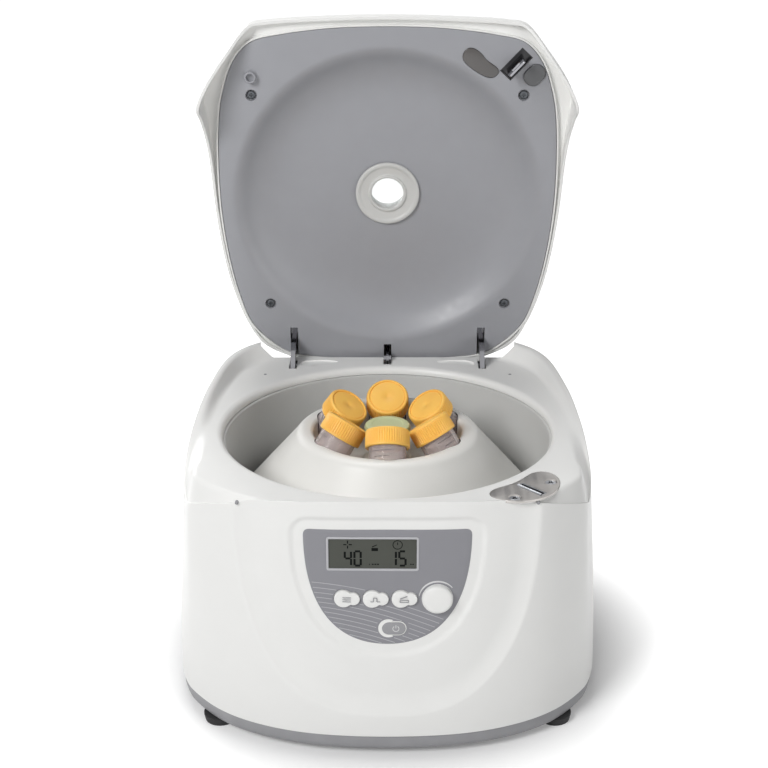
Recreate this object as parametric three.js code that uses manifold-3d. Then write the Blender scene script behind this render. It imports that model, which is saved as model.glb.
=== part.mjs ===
// Bench centrifuge with a hinged lid, a fixed-angle rotor and six capped tubes.
// Millimetres, +Z up, +X to the right of someone facing the control panel.
// Inside, places are taken from the point where the rotor's axis meets the deck.
// The last lines lift that frame so that the feet stand on z = 0.
import * as THREE from 'three';
import { mergeVertices } from 'three/addons/utils/BufferGeometryUtils.js';
import Module from 'manifold-3d';

const wasm = await Module();
wasm.setup();

// Driving sizes of the whole
const deckHeight = 203;
const halfWidth = 166;
const frontReach = 149;
const backReach = 205;
const wall = 3.2;
const seat = 0.3;
const overrun = 2;
const through = 26;
const hair = 0.02;
const runningGap = 1;

// Body, base and feet
const skirtHeight = 12;
const footHeight = 6;
const footRadius = 13;
const footInsetX = 38;
const footInsetFront = 52;
const footInsetBack = 40;
const baseFloor = 3;
const baseInset = 1.2;
const deckFall = 25;
const bodyDrop = deckHeight - footHeight - skirtHeight;
const screwHeadRadius = 3.6;
const deckSheet = 2.6;
const troughHalfWidth = 110.5;
const troughFront = 153;
const troughFloor = -19;
const lidSweepFront = 146.6;
const hollowLength = 32;
const hollowHeight = 15;
const hollowDepth = 1.4;
const hollowX = 59;
const hollowY = 139.5;
const footTaper = 1;

// Rotor chamber
const openingRadius = 128;
const openingLip = 4;
const lipShare = 0.3;
const bowlWall = 2.5;
const bowlRadius = 126;
const bowlDepth = 112;
const bowlCorner = 16;
const bowlFlange = 8.4;
const bowlRecess = 1;
const shaftHole = 16;

// Front scoop and control panel
const scoopHalfWidth = 109;
const scoopDrop = 168;
const scoopDepth = 5;
const scoopPower = 2.6;
const scoopBand = 16;
const scoopBandShares = [0.6, 1.1];
const scoopDepthShare = 0.7;
const scoopFloorShares = [0.66, 0.3];
const panelHalfWidth = 59.5;
const panelTop = -20;
const panelHeight = 91;
const panelThickness = 1.6;
const panelProud = 0.3;
const bevelDepth = 1.2;
const bevelSide = 20;
const bevelTop = 12;
const panelCorner = 5;
const panelFallShare = 0.7;
const panelFootShare = 0.62;
const buttonRadius = 6.6;
const buttonSideRadius = 4.8;
const buttonSideShift = 7;
const buttonRow = -74;
const buttonPitch = 20.5;
const buttonFirst = -31.5;
const buttonProud = 2.2;
const buttonTravel = 1;
const startRow = -98;
const startX = 4.5;
const startLength = 17;
const startHeight = 10;
const knobRadius = 12.2;
const knobX = 35.5;
const knobLength = 13;
const knobShaftRadius = 3;
const knobRound = 1.5;
const lcdWidth = 66;
const lcdHeight = 27;
const lcdX = -10.5;
const lcdZ = -39;
const lcdFrame = 3;

// Lid
const lidThickness = 2.6;
const linerLevel = 5;
const linerSheet = 2.4;
const domeRise = 41;
const dishRadius = 124.7;
const dishRise = 19;
const windowBore = 15.5;
const windowRingRadius = 27;
const windowFlange = 3;
const paneThickness = 3;
const pivotY = 148.4;
const pivotZ = -6;
const lidOpenDeg = 85;
const lidHalfWidth = 152.5;
const lidFront = 153.5;
const lidBack = 158;
const wingDrop = 25;
const linerHalfWidth = 139.5;
const linerFront = 145;
const linerBack = 146.5;
const borderWidth = 1.4;
const borderHeight = 5;
const windowProud = 0.6;
const windowLip = 2;
const windowSeatLift = 3;
const lidScrewRadius = 3.2;
const lidScrewX = 110.7;
const lidScrewY = 89.4;
const lidScrewDepth = 15;
const lidBossWall = 1.2;
const lidSlotFront = 117;
const lugSlotFront = 133;
const pegX = -110.8;
const pegY = -105;
const pegRadius = 4.8;
const pegBore = 3;
const pegLength = 5;
const kidneyTilt = 33;
const kidneyLength = 33;
const kidneyWidth = 15;
const kidneyX = 75;
const kidneyY = -115.5;

// Hinge arms and gas strut
const armX = 81.5;
const armThickness = 4;
const armInner = 9;
const armOuter = 23;
const armSlotWidth = 6.6;
const armSlotFront = 125;
const armSlotBack = 146;
const armRise = 20;
const armPadLength = 23;
const armPadWidth = 16;
const armPadThickness = 2.4;
const hubRadius = 4.4;
const hingeReliefWidth = 13;
const earThickness = 2.4;
const earTail = 4;
const pinRadius = 2.5;
const strutRodRadius = 3;
const strutTubeRadius = 7.5;
const strutTubeLength = 96;
const strutFootY = 144;
const strutFootZ = -150;
const strutTopY = 145;
const strutTopZ = 1.5;
const strutStroke = 10.2;
const strutNotchFront = 135.2;
const strutHeel = 30;
const strutChamfer = 2;
const forkReach = 11;
const lugRise = 24;
const lugBar = 5.4;
const lugPadLength = 17;
const lugThickness = 2.2;
const lugRadius = 4.6;
const lugHole = 3.3;
const forkWidth = 6;
const forkRadius = 3.4;
const forkPin = 1;

// Rotor, drive and tubes
const tubeCount = 6;
const tubeAngle = 36;
const tubeRing = 34.8;
const tubeTop = 10.5;
const tubeRadius = 14.4;
const tubeLength = 116;
const tubeCone = 15;
const tubeTip = 3.5;
const capRadius = 17;
const capHeight = 14;
const rotorRadius = 118.5;
const rotorTop = -2;
const rotorBottom = -92;
const hubTop = -26;
const shaftRadius = 6;
const nutRadius = 15;
const nutHeight = 14;
const motorRadius = 42;
const motorHeight = 46;
const mountThickness = 4;
const damperRadius = 9;
const damperHeight = 14;
const damperTurns = [90, 210, 330];
const nutRecess = 4.6;
const capWall = 1.4;
const capBevel = 1;
const nutBevel = 3;

// Latch
const latchX = 102.5;
const latchY = -116;
const latchTurn = -47;
const latchPlateLength = 62;
const latchPlateWidth = 33;
const latchPlateThickness = 1.6;
const latchScrewShift = 19;
const latchScrewX = 2;
const hookEndRoom = 2.5;
const hookWidth = 17;
const hookThickness = 1.8;
const hookDrop = 21;
const boltRadius = 2.5;
const boltLength = 20;
const boltLevel = -11;
const hookWindow = 9;
const hookFlange = 4;
const latchBlockLength = 23;
const latchBlockHeight = 18;
const latchBlockSide = 6;

// Boards, power inlet, switch and rear slots
const boardThickness = 1.6;
const boardWidth = 88;
const boardHeight = 74;
const boardClear = 0.6;
const boardSetback = 15.6;
const encoderSize = 12;
const powerBoardWidth = 72;
const powerBoardLength = 52;
const powerBoardX = -92;
const powerBoardY = 96;
const standoffHeight = 6;
const standoffRadius = 3;
const ventCount = 7;
const ventPitch = 11;
const ventWidth = 70;
const ventHeight = 4.4;
const ventTop = -60;
const ventX = -46;
const inletWidth = 28;
const inletHeight = 22;
const inletX = 62;
const inletZ = -148;
const inletLength = 24;
const inletCavity = 16;
const inletWall = 2.6;
const contactRadius = 1.2;
const contactPitch = 7;
const switchWidth = 13;
const switchHeight = 20;
const switchX = 98;
const switchDepth = 12;
const switchTilt = 8;

const deg = Math.PI / 180;
const group = new THREE.Group();
const centre = new THREE.Group();
group.add(centre);

// Booleans
const solid = (geometry) => {
  let g = geometry.index ? geometry.toNonIndexed() : geometry.clone();
  g = new THREE.BufferGeometry().setAttribute('position', g.getAttribute('position'));
  g = mergeVertices(g, 1e-4);
  return new wasm.Manifold(
    new wasm.Mesh({
      numProp: 3,
      vertProperties: new Float32Array(g.attributes.position.array),
      triVerts: new Uint32Array(g.index.array),
    }),
  );
};

const geometryOf = (body) => {
  const mesh = body.getMesh();
  const g = new THREE.BufferGeometry();
  g.setAttribute('position', new THREE.BufferAttribute(new Float32Array(mesh.vertProperties), 3));
  g.setIndex(new THREE.BufferAttribute(new Uint32Array(mesh.triVerts), 1));
  return g;
};

const moved = (body, matrix) => solid(geometryOf(body).applyMatrix4(matrix));
const join = (...bodies) => bodies.reduce((a, b) => a.add(b));
const cut = (body, ...tools) => tools.reduce((a, b) => a.subtract(b), body);

// Placed primitives, each a manifold solid
const place = (geometry, x = 0, y = 0, z = 0, rx = 0, ry = 0, rz = 0) => {
  const matrix = new THREE.Matrix4().makeRotationFromEuler(new THREE.Euler(rx, ry, rz, 'ZYX'));
  matrix.setPosition(x, y, z);
  return solid(geometry.clone().applyMatrix4(matrix));
};
const box = (w, d, h, x, y, z, rz = 0) => place(new THREE.BoxGeometry(w, d, h), x, y, z, 0, 0, rz);
const rod = (r, h, x, y, z, sides = 24, top = r) =>
  place(new THREE.CylinderGeometry(top, r, h, sides), x, y, z, Math.PI / 2, 0, 0);
const rodX = (r, h, x, y, z, sides = 20) =>
  place(new THREE.CylinderGeometry(r, r, h, sides), x, y, z, 0, 0, Math.PI / 2);
const rodY = (r, h, x, y, z, sides = 24, front = r) =>
  place(new THREE.CylinderGeometry(r, front, h, sides), x, y, z);

// A ring turned about +Z from (radius, height) pairs
const turned = (profile, sides = 48) => {
  const points = profile.map(([r, z]) => new THREE.Vector2(r, z));
  const g = new THREE.LatheGeometry(points, sides);
  g.rotateX(Math.PI / 2);
  return solid(g);
};

// A flat outline in the side view (y, z) with its thickness along x
const sidePlate = (shape, x, thickness, curveSegments = 8) => {
  const g = new THREE.ExtrudeGeometry(shape, { depth: thickness, bevelEnabled: false, curveSegments });
  const basis = new THREE.Matrix4().set(0, 0, 1, x - thickness / 2, 1, 0, 0, 0, 0, 1, 0, 0, 0, 0, 0, 1);
  return solid(g.applyMatrix4(basis));
};

// A flat outline in plan with its thickness upwards
const planPlate = (shape, z, thickness, curveSegments = 10) => {
  const g = new THREE.ExtrudeGeometry(shape, { depth: thickness, bevelEnabled: false, curveSegments });
  return solid(g.translate(0, 0, z));
};

// An outline of curves from a table: each point as shares of half the length and half the width
const outlined = (shares, halfLength, halfBreadth) => {
  const s = new THREE.Shape();
  const at = (k) => [shares[k][0] * halfLength, shares[k][1] * halfBreadth];
  s.moveTo(...at(0));
  for (let k = 1; k < shares.length; k += 3) s.bezierCurveTo(...at(k), ...at(k + 1), ...at(k + 2));
  return s;
};

// A flat outline in the front view (x, z) running back from y
const frontPlate = (shape, y, depth, curveSegments = 12) => {
  const g = new THREE.ExtrudeGeometry(shape, { depth, bevelEnabled: false, curveSegments });
  const basis = new THREE.Matrix4().set(1, 0, 0, 0, 0, 0, 1, y, 0, 1, 0, 0, 0, 0, 0, 1);
  g.applyMatrix4(basis);
  return flipped(g);
};

const flipped = (geometry) => {
  const g = geometry.index ? geometry.toNonIndexed() : geometry;
  const p = g.getAttribute('position');
  for (let i = 0; i < p.count; i += 3) {
    const [x, y, z] = [p.getX(i), p.getY(i), p.getZ(i)];
    p.setXYZ(i, p.getX(i + 1), p.getY(i + 1), p.getZ(i + 1));
    p.setXYZ(i + 1, x, y, z);
  }
  return solid(g);
};

// A surface joined through rings of equal length, closed on itself or capped at both ends
const loft = (rings, closed) => {
  const count = rings[0].length;
  const position = rings.flat().flatMap((p) => [p.x, p.y, p.z]);
  const index = [];
  const spans = closed ? rings.length : rings.length - 1;
  for (let j = 0; j < spans; j++) {
    for (let i = 0; i < count; i++) {
      const a = j * count + i;
      const b = j * count + ((i + 1) % count);
      const c = ((j + 1) % rings.length) * count + i;
      const d = ((j + 1) % rings.length) * count + ((i + 1) % count);
      index.push(a, b, d, a, d, c);
    }
  }
  if (!closed) {
    [0, rings.length - 1].forEach((j) => {
      const middle = position.length / 3;
      const mean = rings[j].reduce((s, p) => s.add(p), new THREE.Vector3()).divideScalar(count);
      position.push(mean.x, mean.y, mean.z);
      for (let i = 0; i < count; i++) {
        const a = j * count + i;
        const b = j * count + ((i + 1) % count);
        index.push(...(j === 0 ? [b, a, middle] : [a, b, middle]));
      }
    });
  }
  const g = new THREE.BufferGeometry();
  g.setAttribute('position', new THREE.Float32BufferAttribute(position, 3));
  g.setIndex(index);
  return solid(g);
};

const flippedLoft = (rings) => loft(rings.map((ring) => [...ring].reverse()), false);

// A closed curve through half a ring of stations, front to back, mirrored to the other side
const mirroredCurve = (stations) => {
  const half = stations.map(([x, y, z]) => new THREE.Vector3(x, y, z));
  const other = half.slice(1, -1).reverse().map((p) => new THREE.Vector3(-p.x, p.y, p.z));
  return new THREE.CatmullRomCurve3([...half, ...other], true, 'centripetal');
};
const samples = (stations, perSpan) => {
  const curve = mirroredCurve(stations);
  const count = (stations.length - 1) * 2 * perSpan;
  return Array.from({ length: count }, (_, i) => curve.getPoint(i / count));
};

// Stations of the body's rim and foot: x as a share of the half width, y as a share of the
// reach to the front or the back, height as a share of the deck's fall at the corners
const rimShares = [
  [0, -0.98, 0.168],
  [0.363, -0.97, 0.12],
  [0.626, -0.889, -0.12],
  [0.759, -0.785, -0.44],
  [0.867, -0.651, -0.8],
  [0.897, -0.55, -1],
  [0.916, -0.416, -0.64],
  [0.919, -0.235, -0.24],
  [0.912, 0.025, 0.08],
  [0.877, 0.341, 0.36],
  [0.795, 0.62, 0.54],
  [0.644, 0.766, 0.56],
  [0.361, 0.839, 0.56],
  [0, 0.859, 0.56],
];
const footShares = [
  [0, -1],
  [0.368, -0.964],
  [0.613, -0.87],
  [0.773, -0.752],
  [0.902, -0.585],
  [0.939, -0.507],
  [0.975, -0.37],
  [0.998, -0.16],
  [1, 0.1],
  [0.996, 0.37],
  [0.96, 0.69],
  [0.82, 0.9],
  [0.43, 0.99],
  [0, 1],
];
// Width of the flat rim, then of the slope down to the deck, at each station
const browWidths = [2, 2, 2, 1.2, 1.2, 1.2, 1.4, 3.5, 5.4, 5, 5.4, 6, 6, 6];
const slopeWidths = [6, 6, 5, 4, 4, 6, 10.4, 8.4, 5.4, 5, 5.5, 8, 8, 8];

const reach = (share) => share * (share < 0 ? frontReach : backReach);
const rimStations = rimShares.map(([x, y, z]) => [x * halfWidth, reach(y), z * deckFall]);
const footStations = footShares.map(([x, y]) => [x * halfWidth, reach(y), -bodyDrop]);
const perSpan = 2;
const rim = samples(rimStations, perSpan);
const foot = samples(footStations, perSpan);
const smoothRow = (row) => samples(row.map((v, i) => [i, v, 0]), perSpan).map((p) => p.y);
const brow = smoothRow(browWidths);
const slope = smoothRow(slopeWidths);
const columns = rim.length;

// Inward direction in plan at each column
const inward = rim.map((p, i) => {
  const along = rim[(i + 1) % columns].clone().sub(rim[(i + columns - 1) % columns]);
  return new THREE.Vector3(-along.y, along.x, 0).normalize();
});

// The outer wall at each column, from the foot (share 0) to the rim (share 1)
const wallRowShares = [0, 0.2, 0.45, 0.7, 0.88];
const innerRowShares = [0, 0.88];
const leanPower = 1.4;
const wallPoint = (i, share, inset = 0) => {
  const lean = share ** leanPower;
  const p = new THREE.Vector3().lerpVectors(foot[i], rim[i], lean);
  p.z = THREE.MathUtils.lerp(foot[i].z, rim[i].z, share);
  return p.addScaledVector(inward[i], inset);
};
// The front wall is thicker, as the scoop is sunk into it
const frontShare = (i) => {
  const across = THREE.MathUtils.smoothstep(Math.abs(rim[i].x) / scoopHalfWidth, 0.72, 1.04);
  return rim[i].y > 0 ? 0 : 1 - across;
};
const wallInset = (i) => wall + (scoopDepth + bevelDepth) * frontShare(i);
const toOpening = (i, radius, z) => {
  const p = rim[i].clone().setZ(0);
  return p.setLength(radius).setZ(z);
};
const deckPoint = (i, share, drop) => {
  const from = rim[i].clone().addScaledVector(inward[i], brow[i] + slope[i]);
  const to = toOpening(i, openingRadius + openingLip, 0);
  const p = from.lerp(to, share);
  return p.setZ(-drop);
};
const browPoint = (i, drop) =>
  rim[i].clone().addScaledVector(inward[i], brow[i]).add(new THREE.Vector3(0, 0, -drop));

const rings = [];
const ring = (make) => rings.push(Array.from({ length: columns }, (_, i) => make(i)));
const innerTop = -deckSheet - wall;
wallRowShares.forEach((share) => ring((i) => wallPoint(i, share)));
ring((i) => rim[i].clone());
ring((i) => browPoint(i, 0));
ring((i) => deckPoint(i, 0, 0));
ring((i) => deckPoint(i, 1, 0));
ring((i) => toOpening(i, openingRadius + openingLip * lipShare, -openingLip * lipShare));
ring((i) => toOpening(i, openingRadius, -openingLip));
ring((i) => toOpening(i, openingRadius, -openingLip - deckSheet));
ring((i) => deckPoint(i, 1, deckSheet));
ring((i) => deckPoint(i, 0, deckSheet));
[...innerRowShares].reverse().forEach((share) => {
  ring((i) => {
    const p = wallPoint(i, share, wallInset(i));
    p.z = THREE.MathUtils.lerp(foot[i].z, Math.min(rim[i].z, innerTop) + innerTop, share);
    return p;
  });
});
const shellBody = loft(rings, true);

// The front wall moved back by some depth: the floor of the scoop and the faces of the panel
const frontSkin = (depth) => {
  const rows = [...wallRowShares, 1];
  const moved = rows.map((share) => rim.map((_, i) => {
    const p = wallPoint(i, share);
    p.y += depth * frontShare(i);
    return p;
  }));
  const cover = moved[moved.length - 1].map((p) => p.clone().setZ(deckFall));
  return loft([...moved, cover], false);
};
const frontY = (x, z) => {
  const share = THREE.MathUtils.clamp((z + bodyDrop) / bodyDrop, 0, 1);
  let i = 1;
  while (wallPoint(i, share).x < Math.abs(x)) i += 1;
  const [a, b] = [wallPoint(i - 1, share), wallPoint(i, share)];
  return THREE.MathUtils.mapLinear(Math.abs(x), a.x, b.x, a.y, b.y);
};
// A tool in front of a dished floor: rings of outline points, each with its depth
const frontTool = (tiers) => {
  const far = tiers[0][0].map(([x, z]) => new THREE.Vector3(x, -frontReach - wall * 4, z));
  const rows = tiers.map(([points, depth]) => points.map(([x, z]) =>
    new THREE.Vector3(x, frontY(x, z) + depth, z)));
  return flippedLoft([far, ...rows]);
};
const scoopSteps = 14;
const scoopOutline = (inset, scale = 1) => {
  const arc = Array.from({ length: scoopSteps + 1 }, (_, k) => {
    const a = Math.PI + (k / scoopSteps) * Math.PI;
    const x = Math.sign(Math.cos(a)) * Math.abs(Math.cos(a)) ** (2 / scoopPower);
    const z = -(Math.abs(Math.sin(a)) ** (2 / scoopPower));
    return [(scoopHalfWidth - inset) * x * scale, (scoopDrop - inset) * z * scale];
  });
  const top = [-1, -0.5, 0, 0.5, 1].map((t) => [-(scoopHalfWidth - inset) * t * scale, deckFall]);
  return [...arc, ...top];
};
const scoop = frontTool([
  [scoopOutline(0), -hair],
  [scoopOutline(scoopBand * scoopBandShares[0]), scoopDepth * scoopDepthShare],
  [scoopOutline(scoopBand * scoopBandShares[1]), scoopDepth],
  ...scoopFloorShares.map((share) => [scoopOutline(scoopBand * scoopBandShares[1], share), scoopDepth]),
]);

// Trough behind the deck that the lid's back edge turns into, and the wall that closes it
const troughLength = backReach * 2 - troughFront;
const troughCut = box(
  troughHalfWidth * 2, troughLength, bodyDrop,
  0, troughFront + troughLength / 2, troughFloor + bodyDrop / 2,
);
const lidRoom = box(
  troughHalfWidth * 2, troughLength, bodyDrop, 0, lidSweepFront + troughLength / 2, bodyDrop / 2,
);
const troughPan = box(
  (troughHalfWidth + wall) * 2, backReach - troughFront, -troughFloor + wall,
  0, troughFront + (backReach - troughFront) / 2 - wall, troughFloor - wall + (-troughFloor + wall) / 2,
);
const outline = (stations, inset, z) =>
  samples(stations, perSpan).map((p, i) => p.clone().addScaledVector(inward[i], inset).setZ(z));
const bodyCore = loft(
  [outline(footStations, wall / 2, -bodyDrop), outline(rimStations, wall / 2, deckFall)],
  false,
);
let housing = cut(shellBody.add(troughPan.intersect(bodyCore)), troughCut, lidRoom, scoop);

// Slots for the hinge arms and the strut's fork, with room for the hinge under the deck
const sides = [-1, 1];
const hingeReliefFront = armSlotFront - runningGap;
const hingeReliefLength = pivotY + hubRadius + earTail + runningGap * 2 - hingeReliefFront;
const hingeReliefHeight = armOuter * 1.4;
const armSlotLength = armSlotBack - armSlotFront;
const hubReliefHeight = hingeReliefHeight + deckSheet / 2;
sides.forEach((s) => {
  const x = s * armX;
  const reliefY = hingeReliefFront + hingeReliefLength / 2;
  housing = cut(
    housing,
    box(armSlotWidth, armSlotLength, bodyDrop / 4, x, armSlotFront + armSlotLength / 2, 0),
    box(
      hingeReliefWidth, hingeReliefLength, hingeReliefHeight,
      x, reliefY, -deckSheet - hingeReliefHeight / 2,
    ),
    box(
      armSlotWidth, hingeReliefLength, hubReliefHeight,
      x, reliefY, -deckSheet / 2 + seat - hubReliefHeight / 2,
    ),
  );
});
const notchLength = troughFront + wall + overrun - strutNotchFront;
housing = housing.subtract(
  box(forkWidth + runningGap * 1.5, notchLength, bodyDrop / 3, 0, strutNotchFront + notchLength / 2, 0),
);

// Kidney-shaped hollows in the deck beside the hinge
const hollowShares = [
  [-1, 0],
  [-1.1, -1.4], [-0.3, -1.2], [0.1, -0.5],
  [0.4, -0.1], [1, -0.2], [1, 0.4],
  [0.6, 1.1], [-0.8, 1.2], [-1, 0],
];
sides.forEach((s) => {
  const shape = outlined(hollowShares, -s * hollowLength / 2, hollowHeight / 2);
  const spot = new THREE.Matrix4().makeTranslation(s * hollowX, hollowY, 0);
  housing = housing.subtract(moved(planPlate(shape, -hollowDepth, hollowDepth + overrun), spot));
});

// Pocket and openings of the control panel
const panelShape = (inset) => {
  const w = panelHalfWidth - inset;
  const top = panelTop - inset;
  const bottom = panelTop - panelHeight + inset;
  const c = panelCorner;
  const drop = top - bottom;
  const s = new THREE.Shape();
  s.moveTo(-w + c, top);
  s.lineTo(w - c, top);
  s.quadraticCurveTo(w, top, w, top - c);
  const knee = top - drop * panelFallShare;
  s.bezierCurveTo(w, knee, w * panelFootShare, bottom, 0, bottom);
  s.bezierCurveTo(-w * panelFootShare, bottom, -w, knee, -w, top - c);
  s.quadraticCurveTo(-w, top, -w + c, top);
  return s;
};
const panelOutline = (growX, growZ, scale = 1) => {
  const middle = panelTop - panelHeight / 2;
  return panelShape(0).getPoints(4).slice(0, -1).reverse().map((p) => [
    p.x * (1 + growX / panelHalfWidth) * scale,
    middle + (p.y - middle) * (1 + growZ / (panelHeight / 2)) * scale,
  ]);
};
const panelDepth = scoopDepth + bevelDepth;
const bevel = frontTool([
  [panelOutline(bevelSide, bevelTop), scoopDepth - hair],
  [panelOutline(overrun, overrun), panelDepth],
  [panelOutline(0, 0, 0.5), panelDepth],
]);
const prism = (shape) => frontPlate(shape, -frontReach * 1.2, frontReach * 0.4);
const band = (shape, lift, thickness) =>
  prism(shape).intersect(frontSkin(panelDepth - lift)).subtract(frontSkin(panelDepth - lift + thickness));
const pocketDepth = panelDepth + panelThickness - panelProud + seat / 2;
housing = housing.subtract(bevel).subtract(prism(panelShape(0)).subtract(frontSkin(pocketDepth)));

const startShape = (grow) => {
  const r = startHeight / 2 + grow;
  const half = startLength / 2 - startHeight / 2;
  const s = new THREE.Shape();
  s.absarc(startX - half, startRow, r, Math.PI / 2, Math.PI * 1.5, false);
  s.absarc(startX + half, startRow, r, -Math.PI / 2, Math.PI / 2, false);
  return s;
};
const rectangle = (w, h, x, y) => {
  const s = new THREE.Shape();
  s.moveTo(x - w / 2, y - h / 2);
  s.lineTo(x + w / 2, y - h / 2);
  s.lineTo(x + w / 2, y + h / 2);
  s.lineTo(x - w / 2, y + h / 2);
  return s;
};
const buttonXs = [0, 1, 2].map((i) => buttonFirst + i * buttonPitch);
const faceY = (x, z = buttonRow) => frontY(x, z) + panelDepth - panelProud;
const boardFront = -frontReach + boardSetback;
const buttonBack = boardFront - boardClear - buttonTravel;
const twoLobes = (x, grow, front, back) => {
  const [length, middle] = [back - front, (front + back) / 2];
  return join(
    rodY(buttonRadius + grow, length, x, middle, buttonRow, 22),
    rodY(buttonSideRadius + grow, length, x + buttonSideShift, middle, buttonRow, 18),
  );
};
const holeFront = -frontReach - overrun;
const holeLength = boardFront - holeFront;
const knobHole = (count) =>
  rodY(knobShaftRadius + seat * 2, holeLength, knobX, holeFront + holeLength / 2, buttonRow, count);
const controlHoles = [
  ...buttonXs.map((x) => twoLobes(x, seat, holeFront, boardFront)),
  frontPlate(startShape(seat), holeFront, holeLength),
  knobHole(20),
];
const lcdInnerWidth = lcdWidth - lcdFrame * 2;
const lcdInnerHeight = lcdHeight - lcdFrame * 2;
const buttonSpan = buttonPitch * 2 + buttonRadius * 2 + buttonSideShift;
const startRoom = overrun * 2;
housing = cut(
  housing,
  box(
    buttonSpan, through, buttonRadius * 2 + overrun,
    buttonXs[1] + buttonSideShift / 2, faceY(0), buttonRow,
  ),
  box(startLength + startRoom, through, startHeight + startRoom, startX, faceY(0), startRow),
  knobHole(12),
  box(lcdInnerWidth - lcdFrame, through, lcdInnerHeight - lcdFrame, lcdX, faceY(lcdX), lcdZ),
);
let controlPanel = band(panelShape(seat), panelProud, panelThickness);
controlPanel = cut(controlPanel, ...controlHoles, prism(rectangle(lcdWidth, lcdHeight, lcdX, lcdZ)));
const lcdPlate = (width, height, lift, thickness) =>
  band(rectangle(width - seat * 2, height - seat * 2, lcdX, lcdZ), lift, thickness);
const lcdBezel = lcdPlate(lcdWidth, lcdHeight, panelProud * 2, panelThickness)
  .subtract(prism(rectangle(lcdInnerWidth, lcdInnerHeight, lcdX, lcdZ)));
const lcdScreen = lcdPlate(lcdInnerWidth, lcdInnerHeight, -panelProud, panelThickness - panelProud * 2);
const buttons = buttonXs.map((x) => twoLobes(x, 0, faceY(x) - buttonProud, buttonBack));
const startProud = buttonProud * 0.4;
const startFront = faceY(startX, startRow) - startProud;
const startButton = frontPlate(startShape(0), startFront, buttonBack - startFront);
const knobBack = faceY(knobX) - runningGap;
const encoderFront = boardFront - boardClear - overrun;
const knobFaceY = knobBack - knobLength;
const knobShaftBack = encoderFront - seat;
const knobSkirt = knobLength - knobRound;
const knobShaft = knobShaftBack - knobBack + runningGap;
const controlKnob = join(
  rodY(knobRadius, knobSkirt, knobX, knobBack - knobSkirt / 2, buttonRow, 30),
  rodY(knobRadius, knobRound, knobX, knobFaceY + knobRound / 2, buttonRow, 30, knobRadius - knobRound),
  rodY(knobShaftRadius, knobShaft, knobX, knobShaftBack - knobShaft / 2, buttonRow, 16),
);
const boardMiddle = panelTop - panelHeight / 2;
const controlBoard = join(
  box(boardWidth, boardThickness, boardHeight, 0, boardFront + boardThickness / 2, boardMiddle),
  box(
    encoderSize, boardFront - encoderFront + boardThickness / 2, encoderSize,
    knobX, (encoderFront + boardFront + boardThickness / 2) / 2, buttonRow,
  ),
);

// Latch plate pocket in the deck
const latchFrame = new THREE.Matrix4()
  .makeRotationZ(latchTurn * deg)
  .setPosition(latchX, latchY, 0);
const atLatch = (body) => moved(body, latchFrame);
const latchPlateShares = [
  [-0.62, 0],
  [-0.62, 0.45], [-1.25, 0.62], [-0.85, 0.88],
  [-0.5, 1.1], [0.45, 0.95], [0.85, 0.45],
  [1.1, 0.15], [1.1, -0.15], [0.85, -0.45],
  [0.45, -0.95], [-0.5, -1.1], [-0.85, -0.88],
  [-1.25, -0.62], [-0.62, -0.45], [-0.62, 0],
];
const latchPlateShape = (grow) =>
  outlined(latchPlateShares, latchPlateWidth / 2 + grow, latchPlateLength / 2 + grow);
const slotLength = hookWidth + hookEndRoom * 2;
const slotWidth = hookThickness + runningGap * 1.6;
const latchSlot = box(slotLength, slotWidth, bodyDrop / 4, 0, 0, 0);
const latchScrewHoles = sides.map((s) =>
  rod(screwHeadRadius * 0.5 + seat, wall * 3, latchScrewX, s * latchScrewShift, 0, 12));
housing = cut(
  housing,
  atLatch(planPlate(latchPlateShape(seat), -latchPlateThickness, latchPlateThickness + overrun)),
  atLatch(box(slotLength, slotWidth + runningGap, wall * 3, 0, 0, 0)),
  ...latchScrewHoles.map(atLatch),
);
let latchPlate = planPlate(latchPlateShape(0), -latchPlateThickness, latchPlateThickness);
latchPlate = cut(latchPlate, latchSlot, ...latchScrewHoles);

// Latch under the deck: a block with a slot for the hook, and a bolt that crosses it
const blockTop = -deckSheet - seat;
const blockBottom = blockTop - latchBlockHeight;
const blockWidth = slotWidth + wall * 3;
const boltPath = (grow, length, shift) =>
  place(new THREE.CylinderGeometry(boltRadius + grow, boltRadius + grow, length, 20), 0, shift, boltLevel);
const latchBlock = atLatch(
  box(latchBlockLength, blockWidth, latchBlockHeight, -latchBlockSide, 0, (blockTop + blockBottom) / 2)
    .subtract(box(slotLength, slotWidth, latchBlockHeight * 4, 0, 0, blockBottom))
    .subtract(boltPath(seat, blockWidth * 2, 0)),
);
const boltRest = slotWidth / 2 + boltLength / 2 + seat;
const latchBolt = atLatch(boltPath(0, boltLength, boltRest));

// Rear wall: cooling slots, power inlet and power switch
const rearDepth = backReach / 3;
const vents = Array.from({ length: ventCount }, (_, i) =>
  box(ventWidth, rearDepth, ventHeight, ventX, backReach, ventTop - i * ventPitch));
housing = cut(
  housing, ...vents,
  box(inletWidth, rearDepth, inletHeight, inletX, backReach, inletZ),
  box(switchWidth, rearDepth, switchHeight, switchX, backReach, inletZ),
);
const rearFace = backReach - wall;
const inletBox = box(
  inletWidth - seat * 2, inletLength, inletHeight - seat * 2, inletX, rearFace - inletLength / 2, inletZ,
);
const contactZ = (i) => inletZ + (i === 0 ? contactPitch / 2 : -contactPitch / 4);
const contactY = rearFace - inletCavity / 2 - overrun;
const contacts = [-1, 0, 1].map((i) =>
  rodY(contactRadius, inletCavity - overrun, inletX + i * contactPitch, contactY, contactZ(i), 10));
const powerInlet = join(
  inletBox.subtract(box(
    inletWidth - inletWall * 2, inletCavity * 2, inletHeight - inletWall * 2, inletX, rearFace, inletZ,
  )),
  ...contacts,
);
const rockerWidth = switchWidth - seat * 2;
const rockerHeight = switchHeight - runningGap * 2.6;
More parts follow.
